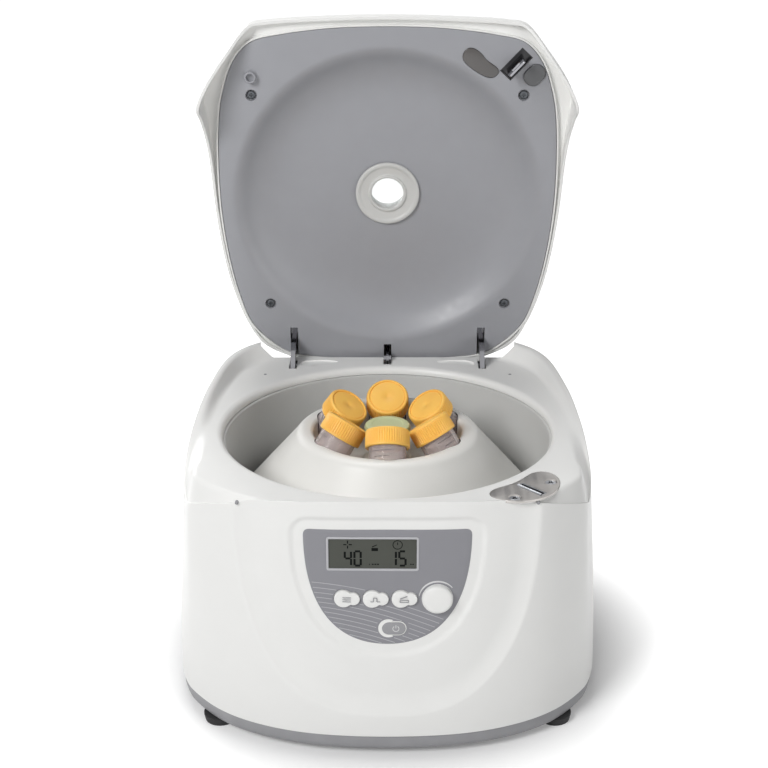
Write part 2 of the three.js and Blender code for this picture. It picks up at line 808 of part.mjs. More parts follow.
const rocker = join(
  rodX(switchDepth / 2, rockerWidth, switchX, 0, 0, 24),
  box(rockerWidth, switchDepth / 2, rockerHeight, switchX, switchDepth / 4, 0),
);
const switchY = rearFace - switchDepth / 2 - overrun;
const powerSwitch = moved(
  rocker, new THREE.Matrix4().makeRotationX(-switchTilt * deg).setPosition(0, switchY, inletZ),
);

// Base pan and feet
const panTop = -bodyDrop;
const panRing = (inset, z) => outline(footStations, baseInset + inset, z);
const panBottom = panTop - skirtHeight;
const panFloor = panBottom + baseFloor;
const panEdge = skirtHeight / 4;
const basePan = loft(
  [panRing(panEdge / 2, panBottom), panRing(0, panBottom + panEdge), panRing(0, panTop)],
  false,
).subtract(loft([panRing(wall, panFloor), panRing(wall, panTop + overrun)], false));
const footSpots = [
  [-1, -frontReach + footInsetFront],
  [1, -frontReach + footInsetFront],
  [-1, backReach - footInsetBack],
  [1, backReach - footInsetBack],
];
const footMiddle = panBottom - footHeight / 2;
const feet = footSpots.map(([s, y]) =>
  rod(footRadius - footTaper, footHeight, s * (halfWidth - footInsetX), y, footMiddle, 20, footRadius));

// Rotor chamber, hung under the deck
const flangeTop = -openingLip - deckSheet - seat;
const bowlBottom = -bowlDepth;
const bowlSteps = 2;
const bowlArc = (radius, corner, z) =>
  Array.from({ length: bowlSteps + 1 }, (_, k) => {
    const a = (k / bowlSteps) * (Math.PI / 2);
    return [radius - corner + corner * Math.cos(a), z + corner - corner * Math.sin(a)];
  });
const closedProfile = (profile) => [...profile, profile[0]];
const bowlInner = bowlRadius - bowlRecess;
const bowl = turned(closedProfile([
  [bowlRadius + bowlFlange, flangeTop - bowlWall],
  [bowlRadius + bowlWall, flangeTop - bowlWall],
  ...bowlArc(bowlInner + bowlWall, bowlCorner + bowlWall, bowlBottom - bowlWall),
  [shaftHole, bowlBottom - bowlWall],
  [shaftHole, bowlBottom + bowlWall * 2],
  [shaftHole + bowlWall, bowlBottom + bowlWall * 2],
  [shaftHole + bowlWall, bowlBottom],
  ...bowlArc(bowlInner, bowlCorner, bowlBottom).reverse(),
  [bowlRadius, flangeTop],
  [bowlRadius + bowlFlange, flangeTop],
].reverse()), 48);

// Drive: motor on a plate with rubber dampers, shaft and chamber seal
const damperRing = motorRadius + damperRadius * 1.5;
const mountTop = panFloor + seat + damperHeight + mountThickness;
const damperAt = damperTurns.map((a) => [damperRing * Math.cos(a * deg), damperRing * Math.sin(a * deg)]);
const damperMiddle = panFloor + damperHeight / 2;
const dampers = damperAt.map(([x, y]) => rod(damperRadius, damperHeight, x, y, damperMiddle, 20));
const mountMiddle = mountTop - mountThickness / 2;
const mount = join(
  rod(motorRadius + wall, mountThickness, 0, 0, mountMiddle, 24),
  ...damperAt.map(([x, y]) => rod(damperRadius + wall, mountThickness, x, y, mountMiddle, 14)),
  ...damperAt.map(([x, y], i) =>
    box(damperRing, damperRadius, mountThickness, x / 2, y / 2, mountMiddle, damperTurns[i] * deg)),
);
const motorTop = mountTop + motorHeight;
const motorBoss = shaftRadius * 2.2;
const motorBody = turned([
  [0, mountTop],
  [motorRadius, mountTop],
  [motorRadius, motorTop - wall * 2],
  [motorRadius - wall * 2, motorTop],
  [motorBoss, motorTop],
  [motorBoss, motorTop + wall],
  [0, motorTop + wall],
], 28);
const shaftBottom = motorTop + wall;
const nutBottom = hubTop + seat;
const shaftTop = nutBottom + nutRecess - seat;
const driveShaft = rod(shaftRadius, shaftTop - shaftBottom, 0, 0, (shaftTop + shaftBottom) / 2, 20);
const sealBottom = bowlBottom - bowlWall * 2;
const shaftSeal = turned(closedProfile([
  [shaftRadius + runningGap, sealBottom],
  [shaftHole - seat, sealBottom],
  [shaftHole - seat, bowlBottom + bowlWall],
  [shaftRadius + runningGap, bowlBottom + bowlWall * 2],
]), 28);

// Fixed-angle rotor with leaning bores
const tubeFrame = (k) => {
  const turn = (k * 360) / tubeCount - 90;
  const m = new THREE.Matrix4().makeRotationZ(turn * deg);
  m.multiply(new THREE.Matrix4().makeTranslation(tubeRing, 0, tubeTop));
  return m.multiply(new THREE.Matrix4().makeRotationY(-tubeAngle * deg));
};
const atTube = (body, k) => moved(body, tubeFrame(k));
const boreRadius = tubeRadius + seat * 2;
const bore = turned([
  [0, -tubeLength - seat],
  [tubeTip + seat * 2, -tubeLength - seat],
  [boreRadius, -tubeLength + tubeCone],
  [boreRadius, tubeCone],
  [0, tubeCone],
], 20);
// Radius as a share of the rotor's, height as a share of its depth below the top
const rotorShares = [
  [0, 0.82],
  [0.2, 0.82],
  [0.26, 1],
  [0.98, 1],
  [1, 0.69],
  [0.986, 0.63],
  [0.622, 0.075],
  [0.592, 0.022],
  [0.55, 0],
  [0.506, 0.002],
  [0.489, 0.024],
  [0.482, 0.12],
  [0.38, 0.4],
  [0.2, 0.36],
  [0.155, 0.266],
  [0, 0.266],
];
const rotorDeep = rotorTop - rotorBottom;
let rotor = turned(rotorShares.map(([r, z]) => [r * rotorRadius, rotorTop - z * rotorDeep]), 48);
rotor = rotor.subtract(rod(shaftRadius + seat, rotorDeep * 3, 0, 0, rotorBottom, 20));
for (let k = 0; k < tubeCount; k++) rotor = rotor.subtract(atTube(bore, k));
const nut = turned([
  [0, nutBottom + nutRecess],
  [shaftRadius + seat, nutBottom + nutRecess],
  [shaftRadius + seat, nutBottom],
  [nutRadius, nutBottom],
  [nutRadius, nutBottom + nutHeight - nutBevel],
  [nutRadius - nutBevel, nutBottom + nutHeight],
  [0, nutBottom + nutHeight],
], 24);
const tube = turned([
  [0, -tubeLength],
  [tubeTip, -tubeLength],
  [tubeRadius, -tubeLength + tubeCone],
  [tubeRadius, -capWall - seat],
  [0, -capWall - seat],
], 20);
const cap = turned([
  [0, -capWall],
  [tubeRadius + seat, -capWall],
  [tubeRadius + seat, -capHeight],
  [capRadius, -capHeight],
  [capRadius, -capBevel],
  [capRadius - capBevel, 0],
  [0, 0],
], 24);

// Hinge arms, drawn with the lid closed, and their brackets and pins
const toPivot = new THREE.Matrix4().makeTranslation(0, pivotY, pivotZ);
const aboutPivot = (body) => moved(body, toPivot);
const armTail = -armOuter * 2;
const armShape = () => {
  const s = new THREE.Shape();
  s.moveTo(-armOuter, 0);
  s.lineTo(-armOuter, armRise - armPadThickness);
  s.lineTo(armTail, armRise - armPadThickness);
  s.lineTo(armTail, armRise);
  s.lineTo(-armInner, armRise);
  s.lineTo(-armInner, 0);
  s.absarc(0, 0, armInner, Math.PI, Math.PI * 1.5, false);
  s.lineTo(0, -armOuter);
  s.absarc(0, 0, armOuter, Math.PI * 1.5, Math.PI, true);
  return s;
};
const padMiddle = armRise - armPadThickness / 2;
const spokeHeight = armInner + hubRadius / 2;
const armPlate = (s) =>
  aboutPivot(join(
    sidePlate(armShape(), s * armX, armThickness, 8),
    box(armPadWidth, armPadLength, armPadThickness, s * armX, armTail + armPadLength / 2, padMiddle),
    rodX(hubRadius, armThickness, s * armX, 0, 0, 16),
    box(armThickness, hubRadius * 2, spokeHeight, s * armX, 0, -spokeHeight / 2 - hubRadius / 2),
  ).subtract(rodX(pinRadius + seat, armThickness * 2, s * armX, 0, 0)));
const earGap = armThickness / 2 + runningGap * 0.8;
const earSpan = (earGap + earThickness) * 2;
const hingeBracket = (s) => {
  const top = -deckSheet - seat - pivotZ;
  const height = top + hubRadius + earTail;
  const front = -hubRadius - runningGap;
  const back = hubRadius + earTail;
  const ear = (side) =>
    box(
      earThickness, back - front, height,
      s * armX + side * (earGap + earThickness / 2), (front + back) / 2, top - height / 2,
    );
  return aboutPivot(join(
    ear(-1), ear(1),
    box(earSpan, earThickness, height, s * armX, back - earThickness / 2, top - height / 2),
  ).subtract(rodX(pinRadius + seat, earSpan * 2, s * armX, 0, 0)));
};
const hingePin = (s) => aboutPivot(rodX(pinRadius, earSpan, s * armX, 0, 0));

// Gas strut: cylinder on its bracket, rod with a fork that straddles the lid's lug
const strutLean = Math.atan2(strutTopY - strutFootY, strutTopZ - strutFootZ);
const strutLength = Math.hypot(strutTopY - strutFootY, strutTopZ - strutFootZ);
const atStrut = (body) => {
  const m = new THREE.Matrix4().makeRotationX(-strutLean).setPosition(0, strutFootY, strutFootZ);
  return moved(body, m);
};
const strutTubeBottom = hubRadius * 2;
const strutTubeTop = strutTubeBottom + strutTubeLength;
const strutHeelTop = strutTubeBottom + strutHeel;
const strutBore = strutRodRadius + seat;
const eyeThickness = armThickness;
const strutCylinder = atStrut(join(
  turned([
    [0, strutTubeBottom],
    [strutTubeRadius, strutTubeBottom],
    [strutTubeRadius, strutTubeTop - strutChamfer],
    [strutTubeRadius - strutChamfer, strutTubeTop],
    [strutBore, strutTubeTop],
    [strutBore, strutHeelTop],
    [0, strutHeelTop],
  ], 18),
  rodX(hubRadius, eyeThickness, 0, 0, 0, 14),
  box(eyeThickness, hubRadius, strutTubeBottom, 0, 0, strutTubeBottom / 2 + overrun),
).subtract(rodX(pinRadius + seat, eyeThickness * 2, 0, 0, 0)));
const rodBottom = strutHeelTop + strutStroke + runningGap * 3;
const forkBottom = strutLength - forkReach;
const forkCheek = (forkWidth - lugThickness) / 2 - seat;
const cheekX = (forkWidth - forkCheek) / 2;
const forkBlock = forkRadius;
const strutRod = atStrut(join(
  rod(strutRodRadius, forkBottom - rodBottom, 0, 0, (forkBottom + rodBottom) / 2, 14),
  box(forkWidth, forkRadius * 2, forkBlock, 0, 0, forkBottom),
  ...sides.map((s) => rodX(forkRadius, forkCheek, s * cheekX, 0, strutLength, 14)),
  ...sides.map((s) =>
    box(forkCheek, forkRadius * 2, forkReach, s * cheekX, 0, strutLength - forkReach / 2)),
  rodX(forkPin, forkWidth - forkCheek, 0, 0, strutLength, 12),
));
const footEar = eyeThickness / 2 + runningGap;
const strutBracket = (() => {
  const height = strutFootZ - panFloor + hubRadius;
  const earX = footEar + earThickness / 2;
  const ear = (s) =>
    box(earThickness, hubRadius * 2, height, s * earX, strutFootY, panFloor + height / 2);
  return join(
    ear(-1), ear(1),
    box(strutTubeRadius * 4, strutTubeRadius * 2, earThickness, 0, strutFootY, panFloor + earThickness / 2),
    rodX(pinRadius, footEar * 2 + earThickness, 0, strutFootY, strutFootZ),
  );
})();

// The lid, drawn closed. Stations of its skirt: x and y as shares of its reach, height as a
// share of the drop at its wings
const lidShares = [
  [0, -1, 0.12],
  [0.328, -0.993, 0.12],
  [0.64, -0.974, 0.09],
  [0.725, -0.958, 0.02],
  [0.852, -0.814, -0.46],
  [0.964, -0.651, -0.84],
  [1, -0.56, -1],
  [0.99, -0.482, -0.65],
  [0.977, -0.378, -0.26],
  [0.964, -0.247, -0.05],
  [0.944, 0.095, 0.19],
  [0.911, 0.335, 0.2],
  [0.872, 0.506, 0.2],
  [0.8, 0.703, 0.2],
  [0.712, 0.838, 0.2],
  [0.557, 0.918, 0.2],
  [0.328, 0.981, 0.2],
  [0, 1, 0.2],
];
const linerShares = [
  [0, -1],
  [0.328, -0.99],
  [0.62, -0.955],
  [0.785, -0.915],
  [0.886, -0.815],
  [0.96, -0.627],
  [0.991, -0.437],
  [1, -0.015],
  [0.967, 0.325],
  [0.91, 0.587],
  [0.839, 0.77],
  [0.715, 0.896],
  [0.601, 0.962],
  [0.426, 0.99],
  [0, 1],
];
// How far each ring of the dome draws in towards the window, and its height, as shares
const domeShares = [
  [0.004, 0.36],
  [0.018, 0.5],
  [0.05, 0.65],
  [0.12, 0.77],
  [0.28, 0.9],
  [0.6, 0.98],
];
const underDomeShares = [
  [0.004, 0.36],
  [0.05, 0.64],
  [0.28, 0.9],
];
const lidStations = lidShares.map(([x, y, z]) =>
  [x * lidHalfWidth, y * (y < 0 ? lidFront : lidBack), z * wingDrop]);
const lidPerSpan = 2;
const skirt = samples(lidStations, lidPerSpan);
const skirtInward = skirt.map((p, i) => {
  const n = skirt.length;
  const along = skirt[(i + 1) % n].clone().sub(skirt[(i + n - 1) % n]);
  return new THREE.Vector3(-along.y, along.x, 0).normalize();
});
const windowHole = windowBore + wall + seat;
const domePoint = (i, share, height, inset) =>
  skirt[i].clone().setZ(0).multiplyScalar(1 - share).addScaledVector(skirtInward[i], inset).setZ(height);
const holePoint = (i, z) => skirt[i].clone().setZ(0).setLength(windowHole).setZ(z);
const skirtAt = (inset, z) => skirt.map((p, i) => p.clone().addScaledVector(skirtInward[i], inset).setZ(z));
const lidRings = [
  skirt.map((p) => p.clone()),
  ...domeShares.map(([share, z]) => skirt.map((_, i) => domePoint(i, share, z * domeRise, 0))),
  skirt.map((_, i) => holePoint(i, domeRise)),
  skirt.map((_, i) => holePoint(i, domeRise - lidThickness)),
  ...[...underDomeShares].reverse().map(([share, z]) =>
    skirt.map((_, i) => domePoint(i, share, z * domeRise - lidThickness, lidThickness * (1 - share)))),
  skirt.map((p, i) => p.clone().addScaledVector(skirtInward[i], lidThickness)),
];
let lidShell = loft(lidRings, true);

// Liner with its shallow dish
const linerStations = linerShares.map(([x, y]) =>
  [x * linerHalfWidth, y * (y < 0 ? linerFront : linerBack), 0]);
const linerCurve = samples(linerStations, lidPerSpan);
const linerShape = (grow) => {
  const n = linerCurve.length;
  return new THREE.Shape(linerCurve.map((p, i) => {
    const along = linerCurve[(i + 1) % n].clone().sub(linerCurve[(i + n - 1) % n]);
    const out = new THREE.Vector2(along.y, -along.x).normalize();
    return new THREE.Vector2(p.x + out.x * grow, p.y + out.y * grow);
  }));
};
const linerTop = linerLevel + linerSheet;
const dishTop = linerLevel + dishRise;
// Radius and rise of the dish as shares, from its edge to the window
const dishShares = [
  [1, 0],
  [0.965, 0.17],
  [0.91, 0.57],
  [0.85, 0.79],
  [0.6, 0.95],
];
const dishLine = (lift) => dishShares.map(([r, z]) => [r * dishRadius, linerLevel + z * dishRise + lift]);
const dish = turned(closedProfile([
  [dishRadius + wall, linerTop],
  ...dishLine(linerSheet),
  [windowHole, dishTop + linerSheet],
  [windowHole, dishTop],
  ...dishLine(0).reverse(),
  [dishRadius + wall, linerLevel],
]), 56);
const lidScrewSpots = [
  [-lidScrewX, -lidScrewY],
  [lidScrewX, -lidScrewY],
  [-lidScrewX + pegRadius * 2, lidScrewY + pegRadius],
  [lidScrewX - pegRadius * 2, lidScrewY + pegRadius],
];
const lidShank = lidScrewRadius / 2;
const lidSlots = [
  [-armX, lidSlotFront],
  [armX, lidSlotFront],
  [0, lugSlotFront],
].map(([x, y]) => box(armSlotWidth, lidBack - y, borderHeight * 3, x, y + (lidBack - y) / 2, linerLevel));
const kidneyShares = [
  [-1, -0.1],
  [-1, -1.2], [-0.35, -1.1], [0, -0.75],
  [0.35, -0.45], [1, -0.9], [1, -0.1],
  [1, 0.9], [0.5, 1], [0, 1],
  [-0.5, 1], [-1, 0.9], [-1, -0.1],
];
const kidneySpot = new THREE.Matrix4()
  .makeRotationZ(kidneyTilt * deg)
  .setPosition(kidneyX, kidneyY, 0);
const kidneyPlate = (grow, z, thickness) => {
  const shape = outlined(kidneyShares, kidneyLength / 2 + grow, kidneyWidth / 2 + grow);
  return moved(planPlate(shape, z, thickness, 8), kidneySpot);
};
const kidneyDepth = linerSheet / 2;
const hookSlot = atLatch(box(slotLength, slotWidth, linerSheet * 6, 0, 0, linerLevel));
let liner = planPlate(linerShape(0), linerLevel, linerSheet)
  .subtract(rod(dishRadius + wall / 2, deckHeight, 0, 0, 0, 56))
  .add(dish);
liner = cut(
  liner, ...lidSlots, hookSlot,
  kidneyPlate(seat, linerLevel - overrun, overrun + kidneyDepth),
  ...lidScrewSpots.map(([x, y]) => rod(lidShank + seat, linerSheet * 4, x, y, linerLevel, 8)),
);
const switchPlate = kidneyPlate(0, linerLevel - seat, kidneyDepth);

// Raised border round the liner, the ledge that ties it to the shell, and the screw bosses
const borderBottom = linerLevel - seat * 2;
const ledgeBottom = borderBottom + borderHeight - borderWidth;
const linerRoom = planPlate(linerShape(seat), borderBottom - overrun, borderHeight + overrun * 2);
const ledge = loft(
  [skirtAt(lidThickness / 2, ledgeBottom), skirtAt(lidThickness / 2, ledgeBottom + borderWidth)],
  false,
).subtract(linerRoom);
const borderRing = planPlate(linerShape(seat + borderWidth), borderBottom, borderHeight)
  .subtract(linerRoom);
const lidFill = loft(
  [skirtAt(lidThickness / 2, linerTop), ...domeShares.slice(1).map(([share, z]) =>
    skirt.map((_, i) => domePoint(i, share, z * domeRise - lidThickness / 2, lidThickness / 2)))],
  false,
);
const bossRadius = lidScrewRadius + lidBossWall;
const boss = (x, y, from) => rod(bossRadius, domeRise, x, y, from + domeRise / 2, 10).intersect(lidFill);
const lugPadTop = pivotZ + lugRise;
const lugPadY = pivotY - armInner - lugPadLength / 2;
lidShell = join(
  lidShell,
  cut(join(ledge, borderRing), ...lidSlots),
  ...lidScrewSpots.map(([x, y]) =>
    boss(x, y, linerTop + seat).subtract(rod(lidShank + seat, lidScrewDepth * 2, x, y, linerTop, 8))),
  ...sides.map((s) => boss(s * armX, pivotY + armTail + armPadLength / 2, pivotZ + armRise + seat)),
  boss(0, lugPadY, lugPadTop + seat),
);

// Window in the lid
const ringFace = dishTop - seat - windowFlange;
const windowLedge = dishTop + windowSeatLift;
const windowRing = turned(closedProfile([
  [windowBore - windowLip, ringFace],
  [windowRingRadius - windowLip, ringFace],
  [windowRingRadius, ringFace + windowLip],
  [windowRingRadius, dishTop - seat],
  [windowBore + wall, dishTop - seat],
  [windowBore + wall, domeRise + windowProud],
  [windowBore, domeRise + windowProud],
  [windowBore, windowLedge],
  [windowBore - windowLip, windowLedge],
]), 32);
const windowPane = rod(windowBore - seat, paneThickness, 0, 0, windowLedge + paneThickness / 2, 28);

// Peg, latch hook and the lug for the strut
const pegRing = turned(closedProfile([
  [pegBore, linerLevel - pegLength],
  [pegRadius, linerLevel - pegLength],
  [pegRadius, linerLevel - seat],
  [pegBore, linerLevel - seat],
]), 24);
const peg = moved(pegRing, new THREE.Matrix4().makeTranslation(pegX, pegY, 0));
const hookTop = linerTop + seat + hookThickness;
const hookTip = linerLevel - hookDrop;
const latchHook = atLatch(join(
  box(hookWidth, hookThickness, hookTop - hookTip, 0, 0, (hookTop + hookTip) / 2),
  box(
    slotLength + hookFlange, hookThickness + hookFlange * 2, hookThickness,
    0, 0, hookTop - hookThickness / 2,
  ),
).subtract(box(hookWindow, hookThickness * 2, boltRadius * 2 + runningGap * 1.6, 0, 0, boltLevel)));
const closedTop = (() => {
  const turn = lidOpenDeg * deg;
  const [y, z] = [strutTopY - pivotY, strutTopZ - pivotZ];
  return [y * Math.cos(turn) - z * Math.sin(turn), y * Math.sin(turn) + z * Math.cos(turn)];
})();
const lugBarTop = lugRise - armPadThickness / 2;
const lugBarY = closedTop[0] + lugRadius - lugBar / 2 - lugThickness;
const strutLug = aboutPivot(join(
  rodX(lugRadius, lugThickness, 0, ...closedTop, 24),
  box(lugThickness, lugBar, lugBarTop - closedTop[1], 0, lugBarY, (lugBarTop + closedTop[1]) / 2),
  box(armPadWidth, lugPadLength, armPadThickness, 0, lugPadY - pivotY, lugRise - armPadThickness / 2),
).subtract(rodX(lugHole, lugThickness * 2, 0, ...closedTop, 20)));

// Power board on standoffs in the base
const powerLevel = panFloor + standoffHeight;
const powerCorner = [powerBoardWidth / 2 - standoffRadius * 2, powerBoardLength / 2 - standoffRadius * 2];
const coilWidth = powerBoardLength / 2;
const powerBoard = join(
  box(
    powerBoardWidth, powerBoardLength, boardThickness,
    powerBoardX, powerBoardY, powerLevel + boardThickness / 2,
  ),
  ...[[-1, -1], [-1, 1], [1, -1], [1, 1]].map(([i, j]) =>
    rod(
      standoffRadius, standoffHeight,
      powerBoardX + i * powerCorner[0], powerBoardY + j * powerCorner[1], panFloor + standoffHeight / 2, 12,
    )),
  box(coilWidth, coilWidth, coilWidth, powerBoardX, powerBoardY, powerLevel + coilWidth / 2),
);

// Materials
const paint = (color, roughness = 0.45, metalness = 0) =>
  new THREE.MeshStandardMaterial({ color, roughness, metalness });
const add = (name, body, ...look) => {
  const geometry = geometryOf(body).toNonIndexed();
  geometry.computeVertexNormals();
  const mesh = new THREE.Mesh(geometry, paint(...look));
  mesh.name = name;
  centre.add(mesh);
  return mesh;
};
// The lid is handed over open, turned back about its hinge
const openLid = new THREE.Matrix4().makeTranslation(0, pivotY, pivotZ)
  .multiply(new THREE.Matrix4().makeRotationX(-lidOpenDeg * deg))
  .multiply(new THREE.Matrix4().makeTranslation(0, -pivotY, -pivotZ));
const addOpen = (name, body, ...look) => add(name, moved(body, openLid), ...look);
const white = 0xeeeeec;
const grey = 0x8f9094;
const steel = 0xb9bcc0;
const dark = 0x2b2b2d;
const amber = 0xffb73f;
const board = 0x2f6a45;

add('housing', housing, white, 0.35);
add('base_pan', basePan, 0x8c8c8f, 0.5);
feet.forEach((foot, i) => add(`foot_${i + 1}`, foot, dark, 0.8));
add('chamber_bowl', bowl, 0xd8d8d6, 0.35);
add('control_panel', controlPanel, 0x8e8e93, 0.5);
add('lcd_bezel', lcdBezel, 0xc9cac8, 0.4);
add('lcd_screen', lcdScreen, 0x5c5e58, 0.2);
buttons.forEach((body, i) => add(`button_${i + 1}`, body, white, 0.4));
add('start_button', startButton, 0x9a9a9e, 0.45);
add('control_knob', controlKnob, white, 0.35);
add('control_board', controlBoard, board, 0.6);
add('power_board', powerBoard, board, 0.6);
add('power_inlet', powerInlet, dark, 0.5);
add('power_switch', powerSwitch, dark, 0.4);
add('latch_plate', atLatch(latchPlate), 0x918d8a, 0.35, 0.8);
add('latch_housing', latchBlock, dark, 0.6);
add('latch_bolt', latchBolt, steel, 0.3, 0.9);
sides.forEach((s, i) => add(`hinge_bracket_${i + 1}`, hingeBracket(s), steel, 0.4, 0.9));
sides.forEach((s, i) => add(`hinge_pin_${i + 1}`, hingePin(s), steel, 0.3, 0.9));
add('strut_bracket', strutBracket, steel, 0.4, 0.9);
add('strut_cylinder', strutCylinder, dark, 0.4, 0.5);
add('strut_rod', strutRod, steel, 0.2, 1);
add('motor_mount', mount, steel, 0.4, 0.9);
dampers.forEach((body, i) => add(`damper_${i + 1}`, body, dark, 0.9));
add('motor_body', motorBody, 0x55585c, 0.5, 0.6);
add('drive_shaft', driveShaft, steel, 0.25, 1);
add('shaft_seal', shaftSeal, dark, 0.9);
add('rotor', rotor, 0xeae9e6, 0.4);
add('rotor_nut', nut, 0xc5cfa5, 0.4);
for (let k = 0; k < tubeCount; k++) {
  add(`tube_${k + 1}`, atTube(tube, k), 0xe4dfd8, 0.2);
  add(`cap_${k + 1}`, atTube(cap, k), amber, 0.5);
}
addOpen('lid_shell', lidShell, white, 0.35);
addOpen('lid_liner', liner, grey, 0.5);
addOpen('window_ring', windowRing, 0xe9e9e7, 0.35);
addOpen('window_pane', windowPane, 0xf4f6f6, 0.1);
addOpen('lid_peg', peg, grey, 0.5);
addOpen('switch_plate', switchPlate, 0x474341, 0.4);
addOpen('latch_hook', latchHook, steel, 0.3, 0.9);
addOpen('strut_lug', strutLug, steel, 0.3, 0.9);
sides.forEach((s, i) => addOpen(`hinge_arm_${i + 1}`, armPlate(s), steel, 0.3, 0.9));

centre.position.set(0, -(knobFaceY + backReach) / 2, deckHeight);
export default group;
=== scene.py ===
"""Bench centrifuge with an open lid, a fixed-angle rotor and six capped tubes."""

import math

import bmesh
import bpy
from mathutils import Matrix, Vector


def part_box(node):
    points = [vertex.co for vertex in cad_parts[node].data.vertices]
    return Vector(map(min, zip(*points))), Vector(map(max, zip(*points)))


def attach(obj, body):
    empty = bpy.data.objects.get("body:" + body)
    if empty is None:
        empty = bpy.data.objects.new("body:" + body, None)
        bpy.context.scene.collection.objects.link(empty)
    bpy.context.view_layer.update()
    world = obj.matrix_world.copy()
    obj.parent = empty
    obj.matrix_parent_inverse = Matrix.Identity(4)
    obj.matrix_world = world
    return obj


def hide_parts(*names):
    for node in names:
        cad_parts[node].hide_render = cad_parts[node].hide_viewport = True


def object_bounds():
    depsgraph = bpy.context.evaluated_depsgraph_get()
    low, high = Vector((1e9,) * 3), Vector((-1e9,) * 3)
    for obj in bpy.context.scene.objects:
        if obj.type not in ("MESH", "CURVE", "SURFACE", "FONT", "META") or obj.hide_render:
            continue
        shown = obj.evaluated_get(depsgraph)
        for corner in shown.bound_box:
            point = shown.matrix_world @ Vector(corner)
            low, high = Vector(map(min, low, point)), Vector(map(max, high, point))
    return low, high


bl_info = {
    "name": "Bench Centrifuge",
    "version": (1, 0, 0),
    "blender": (4, 5, 0),
    "location": "View3D > Sidebar > Centrifuge",
    "description": "Dresses the packed frame of a bench centrifuge with its visible pieces",
    "category": "Add Mesh",
}

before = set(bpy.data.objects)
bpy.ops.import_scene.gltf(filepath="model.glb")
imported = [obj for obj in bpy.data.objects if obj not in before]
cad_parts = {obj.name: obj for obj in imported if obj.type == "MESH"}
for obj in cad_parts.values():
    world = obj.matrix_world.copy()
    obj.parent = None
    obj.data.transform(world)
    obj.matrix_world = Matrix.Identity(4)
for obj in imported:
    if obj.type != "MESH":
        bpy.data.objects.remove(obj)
START_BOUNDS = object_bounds()

# All lengths below are millimetres, from the point where the rotor's axis meets the deck
MM = 0.001
ROTOR_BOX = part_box("rotor")
AXIS_Y = (ROTOR_BOX[0].y + ROTOR_BOX[1].y) / 2 / MM
DECK_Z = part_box("latch_plate")[1].z / MM
TO_ROW = Matrix.Translation((0, AXIS_Y, DECK_Z))

# Sizes shared with the frame
HALF_WIDTH, FRONT_REACH, BACK_REACH = 166, 149, 205
BODY_DROP, SKIRT_HEIGHT, DECK_FALL = 185, 12, 25
OPENING, OPENING_LIP, DECK_SHEET, WALL = 128, 4, 2.6, 3.2
SCOOP_HALF, SCOOP_DROP, SCOOP_POWER = 109, 168, 2.6
PANEL_HALF, PANEL_TOP, PANEL_HEIGHT, PANEL_CORNER = 59.5, -20, 91, 5
PANEL_PROUD, PANEL_THICK, PANEL_RECESS = 0.3, 1.6, 1.9
BUTTON_XS, BUTTON_Z, BUTTON_R, LOBE_R, LOBE_X = (-31.5, -11, 9.5), -74, 6.6, 4.8, 7
START_X, START_Z, START_LENGTH, START_HEIGHT = 4.5, -98, 17, 10
KEY_GAP, KEY_BACK, BUTTON_LIFT, START_LIFT = 0.3, -137.4, 1.9, 0.9
KNOB_X, KNOB_Z, KNOB_R, KNOB_LENGTH = 35.5, -74, 11.2, 9.5
LCD_X, LCD_Z, LCD_WIDTH, LCD_HEIGHT = -10.5, -39, 66, 27
LATCH_X, LATCH_Y, LATCH_TURN, LATCH_SHIFT = 102.5, -116, -47, 1.7
LATCH_LONG, LATCH_BROAD, LATCH_SHEET, LATCH_SLOT = 16, 31, 1.6, (23.4, 6.2)
INLET_X, INLET_Z, SWITCH_X = 62, -148, 98
PEG_SPOT, PAD_SPOT, KIDNEY_SPOT = (-110.8, -105), (118.6, -106.2), (75, -115.5)
PIVOT_Y, PIVOT_Z, LID_OPEN = 148.4, -6, 85
LINER_Z, LINER_SHEET, DISH_R, DISH_RISE, DOME_RISE, WINDOW_HOLE = 5, 2.4, 124.7, 19, 41, 19
TUBE_COUNT, TUBE_LEAN, TUBE_RING, TUBE_TOP = 6, 36, 34.8, 10.5
TUBE_R, TUBE_LENGTH, TUBE_CONE, TUBE_TIP, TUBE_WALL = 14.4, 116, 15, 3.5, 1.1
CAP_HEIGHT, NUT_TOP = 14, 1.5
ARM_X, ARM_OUTER, ARM_INNER, SLOT_WIDTH = 81.5, 23, 9, 6.6

RIM_SHARES = [
    (0, -0.98, 0.168), (0.363, -0.97, 0.12), (0.626, -0.889, -0.12), (0.759, -0.785, -0.44),
    (0.867, -0.651, -0.8), (0.897, -0.55, -1), (0.916, -0.416, -0.64), (0.919, -0.235, -0.24),
    (0.912, 0.025, 0.08), (0.877, 0.341, 0.36), (0.795, 0.62, 0.54), (0.644, 0.766, 0.56),
    (0.361, 0.839, 0.56), (0, 0.859, 0.56),
]
FOOT_SHARES = [
    (0, -1), (0.368, -0.964), (0.613, -0.87), (0.773, -0.752), (0.902, -0.585),
    (0.939, -0.507), (0.975, -0.37), (0.998, -0.16), (1, 0.1), (0.996, 0.37),
    (0.96, 0.69), (0.82, 0.9), (0.43, 0.99), (0, 1),
]
BROW_WIDTHS = [2, 2, 2, 1.2, 1.2, 1.2, 1.4, 3.5, 5.4, 5, 5.4, 6, 6, 6]
SLOPE_WIDTHS = [6, 6, 5, 4, 4, 6, 10.4, 8.4, 5.4, 5, 5.5, 8, 8, 8]
BODY_COUNTS = [46, 34, 18, 12, 8, 8, 8, 10, 10, 10, 8, 10, 12]
